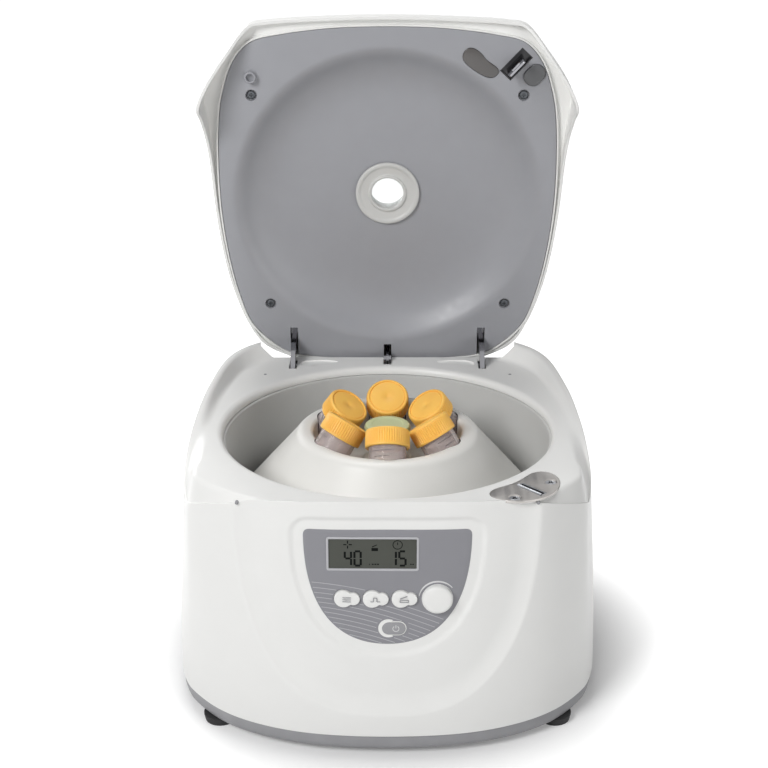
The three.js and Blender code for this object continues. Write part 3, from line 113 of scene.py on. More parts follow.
LID_SHARES = [
    (0, -1, 0.12), (0.328, -0.993, 0.12), (0.64, -0.974, 0.09), (0.725, -0.958, 0.02),
    (0.852, -0.814, -0.46), (0.964, -0.651, -0.84), (1, -0.56, -1), (0.99, -0.482, -0.65),
    (0.977, -0.378, -0.26), (0.964, -0.247, -0.05), (0.944, 0.095, 0.19), (0.911, 0.335, 0.2),
    (0.872, 0.506, 0.2), (0.8, 0.703, 0.2), (0.712, 0.838, 0.2), (0.557, 0.918, 0.2),
    (0.328, 0.981, 0.2), (0, 1, 0.2),
]
LID_HALF, LID_FRONT, LID_BACK, WING_DROP = 152.5, 153.5, 158, 25
LINER_SHARES = [
    (0, -1), (0.328, -0.99), (0.62, -0.955), (0.785, -0.915), (0.886, -0.815),
    (0.96, -0.627), (0.991, -0.437), (1, -0.015), (0.967, 0.325), (0.91, 0.587),
    (0.839, 0.77), (0.715, 0.896), (0.601, 0.962), (0.426, 0.99), (0, 1),
]
LINER_HALF, LINER_FRONT, LINER_BACK = 139.5, 145, 146.5
DOME_SHARES = [(0, 0.2), (0.004, 0.36), (0.018, 0.5), (0.05, 0.65), (0.12, 0.77), (0.28, 0.9), (0.6, 0.98)]
DISH_POWER, DISH_EDGE = 7, 0.955
ROTOR_SHARES = [
    (0, 0.82), (0.2, 0.82), (0.26, 1), (0.98, 1), (1, 0.69), (0.986, 0.63), (0.622, 0.075),
    (0.592, 0.022), (0.55, 0), (0.506, 0.002), (0.489, 0.024), (0.482, 0.12), (0.38, 0.4),
    (0.2, 0.36), (0.155, 0.266), (0, 0.266),
]
HOLLOW_SHARES = [
    (-1, 0), (-1.1, -1.4), (-0.3, -1.2), (0.1, -0.5), (0.4, -0.1), (1, -0.2), (1, 0.4),
    (0.6, 1.1), (-0.8, 1.2), (-1, 0),
]
LATCH_SHARES = [
    (-0.86, 0), (-0.86, 0.4), (-1.2, 0.62), (-0.85, 0.88), (-0.5, 1.1), (0.45, 0.95),
    (0.85, 0.45), (1.1, 0.15), (1.1, -0.15), (0.85, -0.45), (0.45, -0.95), (-0.5, -1.1),
    (-0.85, -0.88), (-1.2, -0.62), (-0.86, -0.4), (-0.86, 0),
]
KIDNEY_SHARES = [
    (-1, -0.1), (-1, -1.2), (-0.35, -1.1), (0, -0.75), (0.35, -0.45), (1, -0.9), (1, -0.1),
    (1, 0.9), (0.5, 1), (0, 1), (-0.5, 1), (-1, 0.9), (-1, -0.1),
]


# ---------- curves and outlines


def srgb(text):
    """The linear colour of a six-figure code."""
    parts = [int(text[i:i + 2], 16) / 255 for i in (0, 2, 4)]
    return tuple(c / 12.92 if c <= 0.04045 else ((c + 0.055) / 1.055) ** 2.4 for c in parts)


def smooth(t):
    t = min(max(t, 0), 1)
    return t * t * (3 - 2 * t)


def mix(a, b, t):
    return a + (b - a) * t


def curve(t, *steer):
    """A point on the curve that three or four points steer."""
    u = 1 - t
    if len(steer) == 3:
        a, b, c = steer
        return a * u ** 2 + b * 2 * t * u + c * t * t
    a, b, c, d = steer
    return a * u ** 3 + b * 3 * u * u * t + c * 3 * u * t * t + d * t ** 3


def turn(count):
    """The angles of a whole turn in even steps."""
    return [2 * math.pi * k / count for k in range(count)]


def sweep(first, last, steps):
    """The angles from one to another, given in degrees, in even steps."""
    return [math.radians(mix(first, last, k / steps)) for k in range(steps + 1)]


def polar(radius, angle, z=0):
    return Vector((radius * math.cos(angle), radius * math.sin(angle), z))


def arc(radius, angles, cx=0, cy=0):
    return [Vector((cx + radius * math.cos(a), cy + radius * math.sin(a))) for a in angles]


def rows_of(columns):
    """The rings that run across a list of columns."""
    return [list(ring) for ring in zip(*columns)]


def catmull(points, k, t, closed):
    """A point on the centripetal curve that the frame's outlines also follow."""
    n = len(points)
    pick = (lambda i: points[i % n]) if closed else (lambda i: points[min(max(i, 0), n - 1)])
    p0, p1, p2, p3 = (Vector(pick(k + j)) for j in (-1, 0, 1, 2))
    if not closed and k == 0:
        p0 = p1 * 2 - p2
    if not closed and k == n - 2:
        p3 = p2 * 2 - p1
    gaps = [(a - b).length_squared ** 0.25 for a, b in ((p0, p1), (p1, p2), (p2, p3))]
    d1 = gaps[1] if gaps[1] > 1e-4 else 1
    d0 = gaps[0] if gaps[0] > 1e-4 else d1
    d2 = gaps[2] if gaps[2] > 1e-4 else d1
    t1 = ((p1 - p0) / d0 - (p2 - p0) / (d0 + d1) + (p2 - p1) / d1) * d1
    t2 = ((p2 - p1) / d1 - (p3 - p1) / (d1 + d2) + (p3 - p2) / d2) * d1
    c2 = p1 * -3 + p2 * 3 - t1 * 2 - t2
    c3 = p1 * 2 - p2 * 2 + t1 + t2
    return p1 + t1 * t + c2 * t * t + c3 * t ** 3


def mirrored(stations, counts):
    """The closed curve through half a ring of stations and its mirror image."""
    half = [Vector(s) for s in stations]
    points = half + [Vector((-p.x, p.y, p.z)) for p in reversed(half[1:-1])]
    spans = list(counts) + list(reversed(counts))
    return [catmull(points, k, j / n, True) for k, n in enumerate(spans) for j in range(n)]


def eased(points, steps):
    """An open curve through points, steps to a span."""
    flat = [Vector((*p, 0)) if len(p) == 2 else Vector(p) for p in points]
    out = [catmull(flat, k, j / steps, False) for k in range(len(flat) - 1) for j in range(steps)]
    return out + [flat[-1]]


def rounded(points, radii, steps=3):
    """A chain of points with its inner corners turned by short curves."""
    out = [Vector(points[0])]
    for k in range(1, len(points) - 1):
        a, b, c = (Vector(p) for p in points[k - 1:k + 2])
        if radii[k] <= 0:
            out.append(b)
            continue
        cut = min(radii[k], (a - b).length * 0.45, (c - b).length * 0.45)
        u = b + (a - b).normalized() * cut
        v = b + (c - b).normalized() * cut
        out += [curve(j / steps, u, b, v) for j in range(steps + 1)]
    out.append(Vector(points[-1]))
    return out


def counter_clockwise(outline):
    area = sum(p.x * q.y - q.x * p.y for p, q in zip(outline, outline[1:] + outline[:1]))
    return outline[::-1] if area < 0 else outline


def bezier_outline(shares, half_length, half_breadth, steps=10):
    """A flat outline from a table of curve points, each a share of half its length and breadth."""
    pts = [Vector((x * half_length, y * half_breadth)) for x, y in shares]
    spans = range(0, len(pts) - 1, 3)
    return counter_clockwise([curve(j / steps, *pts[k:k + 4]) for k in spans for j in range(steps)])


def grown(outline, by):
    """A counter-clockwise outline moved outwards."""
    n = len(outline)
    out = []
    for i, p in enumerate(outline):
        along = outline[(i + 1) % n] - outline[i - 1]
        out.append(p + Vector((along.y, -along.x)).normalized() * by)
    return out


def pill(length, height, cx=0, cy=0):
    r, half = height / 2, (length - height) / 2
    return arc(r, sweep(-90, 90, 12), cx + half, cy) + arc(r, sweep(90, 270, 12), cx - half, cy)


def round_rect(width, height, corner, cx=0, cy=0):
    out = []
    for sx, sy, start in ((1, -1, -90), (1, 1, 0), (-1, 1, 90), (-1, -1, 180)):
        x, y = cx + sx * (width / 2 - corner), cy + sy * (height / 2 - corner)
        out += arc(corner, sweep(start, start + 90, 5), x, y)
    return out


# ---------- meshes


class Shape:
    """Points and faces in millimetres, gathered before they become a mesh."""

    def __init__(self):
        self.points = []
        self.faces = []

    def ring_grid(self, rings, closed=False, flip=False):
        """Quads between rings of equal length."""
        start, n = len(self.points), len(rings[0])
        for ring in rings:
            self.points.extend(Vector(p) for p in ring)
        for j in range(len(rings) if closed else len(rings) - 1):
            k = (j + 1) % len(rings)
            for i in range(n):
                m = (i + 1) % n
                quad = [start + j * n + i, start + j * n + m, start + k * n + m, start + k * n + i]
                self.faces.append(quad[::-1] if flip else quad)
        return self

    def close(self, first, count, flip=False):
        """A flat face over some of the points."""
        face = list(range(first, first + count))
        self.faces.append(face[::-1] if flip else face)
        return self

    def cap(self, ring):
        self.points.extend(ring)
        return self.close(len(self.points) - len(ring), len(ring))

    def solid(self, rings):
        """A body through rings, with a flat face at each end."""
        start, n = len(self.points), len(rings[0])
        self.ring_grid(rings).close(start, n, flip=True)
        return self.close(len(self.points) - n, n)

    def moved(self, start, place):
        """Takes the points from start on to their place."""
        if place:
            self.points[start:] = [place @ p for p in self.points[start:]]
        return self

    def lathe(self, profile, count=96, closed=True, place=None):
        """A ring turned about Z from (radius, height) points."""
        start = len(self.points)
        rings = [[polar(r, a, z) for a in turn(count)] for r, z in profile]
        return self.ring_grid(rings, closed=closed).moved(start, place)

    def prism(self, outline, low, high, bevel=0, place=None):
        """A flat outline with a thickness along Z, its upper edge rounded by the bevel."""
        levels = [(low, 0), (high, 0)]
        if bevel:
            shoulder = [polar(bevel, a) for a in sweep(0, 90, 3)]
            levels[1:] = [(high - bevel + p.y, -bevel + p.x) for p in shoulder]
        rings = []
        for level, by in levels:
            rings.append([Vector((p.x, p.y, level)) for p in grown(outline, by)])
        start = len(self.points)
        return self.solid(rings).moved(start, place)

    def block(self, width, depth, height, x, y, z, place=None):
        corners = ((-1, -1), (1, -1), (1, 1), (-1, 1))
        outline = [Vector((x + sx * width / 2, y + sy * depth / 2)) for sx, sy in corners]
        return self.prism(outline, z - height / 2, z + height / 2, place=place)


def mesh_of(name, shape, matrix=None):
    """An object whose mesh holds the shape, in the row frame and in metres."""
    place = TO_ROW @ (matrix or Matrix.Identity(4))
    low, high = START_BOUNDS
    points = []
    for p in shape.points:
        q = (place @ p) * MM
        points.append(tuple(min(max(q[k], low[k]), high[k]) for k in range(3)))
    data = bpy.data.meshes.new(name)
    data.from_pydata(points, [], shape.faces)
    tidy = bmesh.new()
    tidy.from_mesh(data)
    bmesh.ops.remove_doubles(tidy, verts=tidy.verts, dist=1e-6)
    bmesh.ops.dissolve_degenerate(tidy, edges=tidy.edges, dist=1e-7)
    bmesh.ops.recalc_face_normals(tidy, faces=tidy.faces)
    tidy.to_mesh(data)
    tidy.free()
    obj = bpy.data.objects.new(name, data)
    bpy.context.scene.collection.objects.link(obj)
    return obj


def combine(obj, shapes, operation="DIFFERENCE", matrix=None):
    """Cuts shapes or objects from an object, joins them to it, or keeps what they share."""
    tools = [s if isinstance(s, bpy.types.Object) else mesh_of("tool", s, matrix) for s in shapes]
    for tool in tools:
        step = obj.modifiers.new("combine", "BOOLEAN")
        step.operation = operation
        step.solver = "MANIFOLD"
        step.object = tool
    bpy.context.view_layer.update()
    graph = bpy.context.evaluated_depsgraph_get()
    made = bpy.data.meshes.new_from_object(obj.evaluated_get(graph))
    if not made.polygons:
        raise RuntimeError(f"{obj.name}: nothing is left after {operation}")
    old = obj.data
    obj.modifiers.clear()
    obj.data = made
    made.name = obj.name
    bpy.data.meshes.remove(old)
    for tool in tools:
        data = tool.data
        bpy.data.objects.remove(tool)
        bpy.data.meshes.remove(data)


def dress(obj, body, look, replaces=(), sharp=32):
    """Gives a finished piece its shading, material and body, and hides the frame's parts it replaces."""
    data = obj.data
    data.shade_smooth()
    data.set_sharp_from_angle(angle=math.radians(sharp))
    data.materials.clear()
    data.materials.append(material(look))
    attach(obj, body)
    if replaces:
        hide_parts(*replaces)


# ---------- finishes

# colour property, roughness low and high, metal, grain size mm, bump height mm, tone spread
FINISHES = {
    "white_moulding": ("white_colour", 0.3, 0.4, 0, 1.2, 0.006, 0.006),
    # the chamber's own grey; on the lid's window frame the same grey is painted shade
    "chamber_moulding": ("chamber_colour", 0.36, 0.48, 0, 1.4, 0.008, 0.012),
    "liner_moulding": ("liner_colour", 0.36, 0.44, 0, 0.8, 0.012, 0.014),
    "pad_moulding": ("pad_colour", 0.3, 0.4, 0, 0.8, 0.01, 0.05),
    "tube_print": ("ink_colour", 0.4, 0.5, 0, 0.5, 0.004, 0.05),
    "tube_liquid": ("liquid_colour", 0.1, 0.2, 0, 4, 0.003, 0.12),
    "base_moulding": ("base_colour", 0.45, 0.58, 0, 0.8, 0.014, 0.06),
    "panel_print": ("panel_colour", 0.42, 0.52, 0, 0.6, 0.006, 0.012),
    "pale_print": ("print_colour", 0.45, 0.55, 0, 0.5, 0.004, 0.03),
    "stripe_print": ("stripe_colour", 0.45, 0.55, 0, 0.5, 0.004, 0.03),
    "ink": ("ink_colour", 0.4, 0.5, 0, 0.5, 0.004, 0.05),
    "lcd_face": ("lcd_colour", 0.12, 0.2, 0, 2.5, 0.004, 0.06),
    "rotor_moulding": ("rotor_colour", 0.34, 0.46, 0, 1.2, 0.008, 0.012),
    # the rotor's bore walls: a dark brown that is painted shade for the depth of the bores
    "bore_painted_shade": ("bore_shade_colour", 0.5, 0.6, 0, 1.2, 0.008, 0.1),
    "nut_moulding": ("nut_colour", 0.4, 0.5, 0, 1, 0.01, 0.05),
    "cap_moulding": ("cap_colour", 0.4, 0.5, 0, 0.9, 0.012, 0.05),
    "tube_clear": ("tube_colour", 0.05, 0.1, 0, 3, 0.006, 0.05),
    "pane_clear": ("pane_colour", 0.08, 0.16, 0, 2, 0.01, 0.03),
    "plate_brushed": ("plate_colour", 0.28, 0.42, 1, 0.5, 0.008, 0.12),
    "steel_brushed": ("steel_colour", 0.24, 0.38, 1, 0.5, 0.006, 0.1),
    # chrome kept darker than bright chrome: the low colour is a painted dark reflection of the surroundings
    "chrome_polished": ("chrome_reflection_colour", 0.1, 0.2, 1, 2, 0.003, 0.06),
    "motor_paint": ("motor_colour", 0.4, 0.55, 0.6, 0.8, 0.02, 0.1),
    "dark_moulding": ("dark_colour", 0.38, 0.52, 0, 0.7, 0.014, 0.2),
    "dark_gloss": ("gloss_colour", 0.1, 0.18, 0, 3, 0.003, 0.12),
    "rubber_matt": ("rubber_colour", 0.7, 0.85, 0, 0.6, 0.03, 0.25),
    "board_lacquer": ("board_colour", 0.3, 0.5, 0, 3, 0.03, 0.35),
}
# how much the grain is drawn out along each axis
STRETCH = {
    "tube_liquid": (1, 1, 0.4), "tube_clear": (1, 1, 0.4), "plate_brushed": (1, 0.04, 1),
    "steel_brushed": (0.05, 1, 1), "chrome_polished": (1, 1, 0.2),
}
EXTRAS = {
    "white_moulding": {"Specular IOR Level": 0.35},
    "liner_moulding": {"Specular IOR Level": 0.5},
    "panel_print": {"Specular IOR Level": 0.25},
    "lcd_face": {"Specular IOR Level": 0.15},
    "ink": {"Specular IOR Level": 0.05},
    "tube_clear": {"Transmission Weight": 0.74, "IOR": 1.2},
    "tube_liquid": {"Transmission Weight": 0.3, "IOR": 1.33},
    "pane_clear": {"Transmission Weight": 0.8, "IOR": 1.2},
    "cap_moulding": {"Subsurface Weight": 0.08, "Subsurface Scale": 0.002},
    "dark_gloss": {"Coat Weight": 0.5, "Coat Roughness": 0.05},
}

# between these two values of the noise a finish goes from one end of its range to the other
NOISE_LOW, NOISE_HIGH = 0.3, 0.7


def add_node(tree, kind, sockets=None, **attributes):
    """A shader node with values on its sockets."""
    node = tree.nodes.new("ShaderNode" + kind)
    for key, value in attributes.items():
        setattr(node, key, value)
    for key, value in (sockets or {}).items():
        node.inputs[key].default_value = value
    return node


def material(name):
    """The named finish: toned colour, uneven gloss and a fine grain, all from noise on the piece."""
    found = bpy.data.materials.get(name)
    if found:
        return found
    colour_name, rough_low, rough_high, metal, grain, height, spread = FINISHES[name]
    colour = Vector(getattr(bpy.context.scene.centrifuge_colours, colour_name))
    made = bpy.data.materials.new(name)
    made.use_nodes = True
    tree = made.node_tree
    link = tree.links.new
    shader = tree.nodes["Principled BSDF"]
    shader.inputs["Metallic"].default_value = metal
    for socket, value in EXTRAS.get(name, {}).items():
        shader.inputs[socket].default_value = value
    mapping = add_node(tree, "Mapping", {"Scale": STRETCH.get(name, (1, 1, 1))})
    link(add_node(tree, "TexCoord").outputs["Object"], mapping.inputs["Vector"])

    def noise(size_mm, detail):
        source = add_node(tree, "TexNoise", {"Scale": 1 / (size_mm * MM), "Detail": detail})
        link(mapping.outputs["Vector"], source.inputs["Vector"])
        return source.outputs["Fac"]

    ramp = add_node(tree, "ValToRGB")
    low, high = ramp.color_ramp.elements
    low.position, high.position = NOISE_LOW, NOISE_HIGH
    low.color = (*(colour * (1 - spread)), 1)
    high.color = (*(min(c * (1 + spread), 1) for c in colour), 1)
    link(noise(grain * 18, 5), ramp.inputs["Fac"])
    link(ramp.outputs["Color"], shader.inputs["Base Color"])
    gloss = add_node(tree, "MapRange", {
        "From Min": NOISE_LOW, "From Max": NOISE_HIGH, "To Min": rough_low, "To Max": rough_high,
    })
    link(noise(grain * 9, 4), gloss.inputs["Value"])
    link(gloss.outputs["Result"], shader.inputs["Roughness"])
    bump = add_node(tree, "Bump", {"Strength": 0.5, "Distance": height * MM})
    link(noise(grain, 3), bump.inputs["Height"])
    link(bump.outputs["Normal"], shader.inputs["Normal"])
    return made


# ---------- the body's wall


def reach(share):
    return share * (FRONT_REACH if share < 0 else BACK_REACH)


RIM = mirrored([(x * HALF_WIDTH, reach(y), z * DECK_FALL) for x, y, z in RIM_SHARES], BODY_COUNTS)
FOOT = mirrored([(x * HALF_WIDTH, reach(y), -BODY_DROP) for x, y in FOOT_SHARES], BODY_COUNTS)
BROW = [p.y for p in mirrored([(i, v, 0) for i, v in enumerate(BROW_WIDTHS)], BODY_COUNTS)]
SLOPE = [p.y for p in mirrored([(i, v, 0) for i, v in enumerate(SLOPE_WIDTHS)], BODY_COUNTS)]
LEAN_POWER = 1.4


def inward_of(ring):
    n = len(ring)
    out = []
    for i in range(n):
        along = ring[(i + 1) % n] - ring[i - 1]
        out.append(Vector((-along.y, along.x, 0)).normalized())
    return out


INWARD = inward_of(RIM)


def wall_point(i, share, inset=0):
    p = FOOT[i].lerp(RIM[i], share ** LEAN_POWER)
    p.z = mix(FOOT[i].z, RIM[i].z, share)
    return p + INWARD[i] * inset


def front_y(x, z):
    """Where the plain front wall stands, before the scoop is sunk into it."""
    share = min(max((z + BODY_DROP) / BODY_DROP, 0), 1)
    i = 1
    while wall_point(i, share).x < abs(x):
        i += 1
    a, b = wall_point(i - 1, share), wall_point(i, share)
    return mix(a.y, b.y, (abs(x) - a.x) / (b.x - a.x))


def panel_outline():
    """The panel's outline in the front view, counter-clockwise."""
    w, top, c = PANEL_HALF, PANEL_TOP, PANEL_CORNER
    half = [Vector((mix(w - c, w, 1 - (1 - j / 4) ** 2), mix(top, top - c, (j / 4) ** 2))) for j in range(5)]
    bottom, knee = top - PANEL_HEIGHT, top - PANEL_HEIGHT * 0.7
    steer = [Vector(p) for p in ((w, top - c), (w, knee), (w * 0.62, bottom), (0, bottom))]
    half += [curve(j / 28, *steer) for j in range(1, 29)]
    left = [Vector((-p.x, p.y)) for p in half[:-1]]
    across = [Vector((mix(-(w - c), w - c, k / 10), top)) for k in range(1, 10)]
    return half[::-1] + across[::-1] + left


PANEL_EDGE = panel_outline()


def panel_gap(x, z):
    """Distance to the panel's edge, negative inside."""
    p = Vector((x, z))
    n = len(PANEL_EDGE)
    best, inside = 1e9, False
    for i in range(n):
        a, b = PANEL_EDGE[i], PANEL_EDGE[(i + 1) % n]
        ab = b - a
        t = min(max((p - a).dot(ab) / max(ab.length_squared, 1e-9), 0), 1)
        best = min(best, (p - a - ab * t).length)
        if (a.y > z) != (b.y > z) and x < (b.x - a.x) * (z - a.y) / (b.y - a.y) + a.x:
            inside = not inside
    return -best if inside else best


def scoop_depth(x, z, sizes):
    """How deep the scoop and the shallow dish round the panel go at a place on the front."""
    u = abs(x) / SCOOP_HALF
    v = max(-z, 0) / SCOOP_DROP
    s = (u ** SCOOP_POWER + v ** SCOOP_POWER) ** (1 / SCOOP_POWER)
    if s >= 1:
        return 0
    away = math.hypot(x, max(-z, 0)) * (1 / max(s, 1e-6) - 1) if s > 1e-6 else SCOOP_HALF
    soft = 0.7
    slide = math.hypot(away, soft) - soft
    depth = sizes.scoop_depth / MM * (1 - max(1 - slide / (sizes.scoop_band / MM), 0) ** 2)
    if abs(x) < PANEL_HALF + 24 and z > PANEL_TOP - PANEL_HEIGHT - 24:
        gap = panel_gap(x, z)
        depth += sizes.dish_depth / MM * smooth((sizes.dish_band / MM - gap) / 4.5)
        depth += PANEL_RECESS * smooth(-(gap + 0.8) / 1.6)
    return depth


def on_front(x, z, lift, sizes):
    """A point in front of the panel's surface by the lift."""
    depth = (sizes.scoop_depth + sizes.dish_depth) / MM - PANEL_PROUD
    return Vector((x, front_y(x, z) + depth - lift, z))


def housing_rings(sizes):
    """Rings of the body: foot to rim, over the rim and down to the opening, back under the deck."""
    rows = 140
    radii = [0, 2.2, 2.4, 3.5, 2.5, 2.2, 0.8, 0.8, 0, 0, 0, 0]
    columns = []
    for i in range(len(RIM)):
        rim, n = RIM[i], INWARD[i]
        front = rim.y < 0 and abs(rim.x) < SCOOP_HALF + 1
        edge = scoop_depth(rim.x, min(rim.z, 0), sizes) if front else 0
        brow, fall = BROW[i], BROW[i] + SLOPE[i]

        def height(inset):
            return rim.z * (1 - min(max((inset - brow) / (fall - brow), 0), 1))

        top = height(edge)
        wall = []
        for j in range(rows):
            share = j / rows
            p = wall_point(i, share)
            p.z = mix(FOOT[i].z, top, share)
            p.y += scoop_depth(p.x, p.z, sizes) if front else 0
            wall.append(p)
        crest = rim + Vector((0, edge, 0))
        crest.z = top
        second = max(brow, edge + 0.8)
        inner = rim + n * second
        inner.z = height(second)
        third = max(fall, second + 1.6)
        level = rim + n * third
        level.z = 0
        flat = Vector((rim.x, rim.y, 0))
        out = flat.normalized()
        lip_top = out * (OPENING + OPENING_LIP)
        lip_mid = out * (OPENING + OPENING_LIP * 0.3) + Vector((0, 0, -OPENING_LIP * 0.3))
        lip_low = out * OPENING + Vector((0, 0, -OPENING_LIP))
        chain = [wall[-1], crest, inner, level, lip_top, lip_mid, lip_low]
        drop = Vector((0, 0, -OPENING_LIP - DECK_SHEET))
        chain += [out * OPENING + drop, out * (OPENING + OPENING_LIP) + Vector((0, 0, -DECK_SHEET))]
        under = rim + n * (fall + 1)
        under.z = -DECK_SHEET
        # the wall is thicker behind the scoop
        front_share = 1 - smooth((abs(rim.x) / SCOOP_HALF - 0.72) / 0.32) if rim.y < 0 else 0
        thick = WALL + 6.2 * front_share
        high = wall_point(i, 0.88, thick)
        high.z = min(rim.z, 0) * 0.9 - 30
        low = wall_point(i, 0, thick)
        chain += [under, high, low]
        columns.append(wall[:-1] + rounded(chain, radii))
    return rows_of(columns)


def inset_ring(ring, inset, z):
    return [Vector((p.x, p.y, z)) + n * inset for p, n in zip(ring, inward_of(ring))]


def latch_place():
    return Matrix.Translation((LATCH_X, LATCH_Y, 0)) @ Matrix.Rotation(math.radians(LATCH_TURN), 4, "Z")


def latch_outline(half_length, half_breadth):
    """The latch plate's outline, moved a little towards the bowl."""
    return [p - Vector((LATCH_SHIFT, 0)) for p in bezier_outline(LATCH_SHARES, half_length, half_breadth)]


def centrifuge_sizes():
    return bpy.context.scene.centrifuge_sizes


def build_housing():
    obj = mesh_of("body_housing", Shape().ring_grid(housing_rings(centrifuge_sizes()), closed=True))
    core = Shape().solid([inset_ring(FOOT, WALL / 2, -BODY_DROP), inset_ring(RIM, WALL / 2, DECK_FALL)])
    trough_half, trough_front, trough_floor = 110.5, 153, -19
    pan_depth, pan_height = BACK_REACH - trough_front, WALL - trough_floor
    pan = mesh_of("trough", Shape().block(
        (trough_half + WALL) * 2, pan_depth, pan_height,
        0, trough_front + pan_depth / 2 - WALL, trough_floor - WALL + pan_height / 2,
    ))
    combine(pan, [core], "INTERSECT")
    combine(obj, [pan], "UNION")
    # the trough, its open edge and the strut's notch
    length, edge_front = BACK_REACH * 2 - trough_front, 146.6
    trough = (trough_half * 2, length, BODY_DROP)
    cuts = [
        Shape().block(*trough, 0, trough_front + length / 2, trough_floor + BODY_DROP / 2),
        Shape().block(*trough, 0, edge_front + length / 2, BODY_DROP / 2),
        Shape().block(7.5, 24, 60, 0, 147.2, 0),
    ]
    # each hinge arm's slot with more room under the deck, and the hollow beside it
    arm_y, arm_room = 141.4, 34.8
    for s in (-1, 1):
        x = s * ARM_X
        cuts.append(Shape().block(SLOT_WIDTH, 21, 40, x, 135.5, 0))
        cuts.append(Shape().block(13, arm_room, 32, x, arm_y, -DECK_SHEET - 16))
        cuts.append(Shape().block(SLOT_WIDTH, arm_room, 34, x, arm_y, -18))
        cuts.append(dished_hollow(bezier_outline(HOLLOW_SHARES, -s * 16, 7.5), s * 59, 139.5))
    place = latch_place()
    seat = latch_outline(LATCH_LONG + 0.3, LATCH_BROAD + 0.3)
    cuts.append(Shape().prism(seat, -LATCH_SHEET, 6, place=place))
    cuts.append(Shape().block(*LATCH_SLOT, 20, 0, 0, 0, place=place))
    # the cooling slots and the openings of the power inlet and its switch
    for k in range(7):
        cuts.append(Shape().prism(pill(70, 4.4), -34, 34, place=rear_place(-46, -60 - k * 11)))
    cuts.append(Shape().block(28, 68, 22, INLET_X, BACK_REACH, INLET_Z))
    cuts.append(Shape().block(13, 68, 20, SWITCH_X, BACK_REACH, INLET_Z))
    combine(obj, cuts)
    dress(obj, "base", "white_moulding", ["housing"])


def rear_place(x, z, y=BACK_REACH):
    """Puts a flat outline on the rear wall, facing back."""
    return Matrix.Translation((x, y, z)) @ Matrix(((-1, 0, 0), (0, 0, 1), (0, 1, 0))).to_4x4()


def dished_hollow(outline, x, y):
    """A shallow hollow in the deck with a soft floor."""
    rings = []
    for inset, level in ((-1.2, 3), (-0.2, 0.02), (0.2, -0.9), (0.9, -1.35), (2.4, -1.5)):
        rings.append([Vector((x + p.x, y + p.y, level)) for p in grown(outline, -inset)])
    return Shape().solid(rings[::-1])


def screw(shape, x, y, z, radius, place=None, lift=1.0):
    """A pan head with a cross recess, standing on z."""
    turns = turn(32)
    profile = ((radius, 0), (radius, lift * 0.35), (radius * 0.86, lift * 0.8), (radius * 0.6, lift))
    rings = [[polar(r, a, h) for a in turns] for r, h in profile]
    arm, half = radius * 0.52, radius * 0.13
    for size, level in ((arm * 1.05, lift), (arm, lift * 0.9), (arm * 0.8, lift * 0.2)):
        ring = []
        for a in turns:
            sides = [half / max(abs(v), 1e-6) for v in (math.sin(a), math.cos(a))]
            ring.append(polar(min(size, max(sides)), a, level))
        rings.append(ring)
    start = len(shape.points)
    shape.solid(rings).moved(start, (place or Matrix.Identity(4)) @ Matrix.Translation((x, y, z)))


def build_base():
    foot = mirrored([(x * HALF_WIDTH, reach(y), 0) for x, y in FOOT_SHARES], [12] * 13)
    top, bottom = -BODY_DROP, -BODY_DROP - SKIRT_HEIGHT
    # inset from the foot's outline, and height
    rows = [
        (9, bottom), (2.6, bottom), (1.2, bottom + 3.4), (1.2, top - 1.2), (1.9, top), (4.4, top),
        (4.4, bottom + 3),
    ]
    columns = []
    for p, n in zip(foot, inward_of(foot)):
        chain = [Vector((p.x, p.y, z)) + n * inset for inset, z in rows]
        columns.append(rounded(chain, [0, 2.2, 2.2, 0.8, 0.5, 0.4, 0]))
    skirt = mesh_of("base_pan_skirt", Shape().solid(rows_of(columns)))
    dress(skirt, "base", "base_moulding", ["base_pan"])
    for k in range(1, 5):
        low, high = (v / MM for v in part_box(f"foot_{k}"))
        x, y, base = (low.x + high.x) / 2, (low.y + high.y) / 2 - AXIS_Y, low.z - DECK_Z
        tall = high.z - low.z
        profile = [(0, 0), (10.5, 0), (12, 0), (12.2, 1.2), (13, tall - 1), (13, tall), (0, tall)]
        profile = rounded(profile, [0, 0.3, 1, 0.8, 0.6, 0, 0])
        shape = Shape().lathe(profile, 48, closed=False, place=Matrix.Translation((x, y, base)))
        dress(mesh_of(f"rubber_foot_{k}", shape), "base", "rubber_matt", [f"foot_{k}"])
    heads = Shape()
    flip = Matrix.Rotation(math.pi, 4, "X")
    for x in (-142, 142):
        for y in (-70, 40, 130):
            screw(heads, 0, 0, -0.2, 3.4, place=Matrix.Translation((x, y, bottom)) @ flip)
    dress(mesh_of("base_screws", heads), "base", "steel_brushed")


def build_chamber():
    radius, floor, corner = 125, -112, 16
    inside = [(p.x, floor + corner - p.y) for p in arc(corner, sweep(0, 90, 10), radius - corner)]
    top = -OPENING_LIP - DECK_SHEET - 0.05
    inner = [(134.4, top), (127.4, top), (126.3, top - 0.6), (125.8, top - 3)] + inside
    inner += [(26, floor), (22, -111.4), (20.6, -108), (18.4, -107), (16, -107)]
    outer = [
        (16, -114.5), (109, -114.5), (118, -112.6), (125.6, -105), (127.5, -96), (128.5, top - 2.5),
        (134.4, top - 2.5),
    ]
    shape = Shape().lathe(inner + outer, 144)
    dress(mesh_of("chamber_liner", shape), "base", "chamber_moulding", ["chamber_bowl"])


# ---------- the control panel


def printed(shape, outline, thickness, sizes):
    """A flat mark laid on the panel."""
    shape.solid([[on_front(p.x, p.y, lift, sizes) for p in outline] for lift in (-0.05, thickness)])


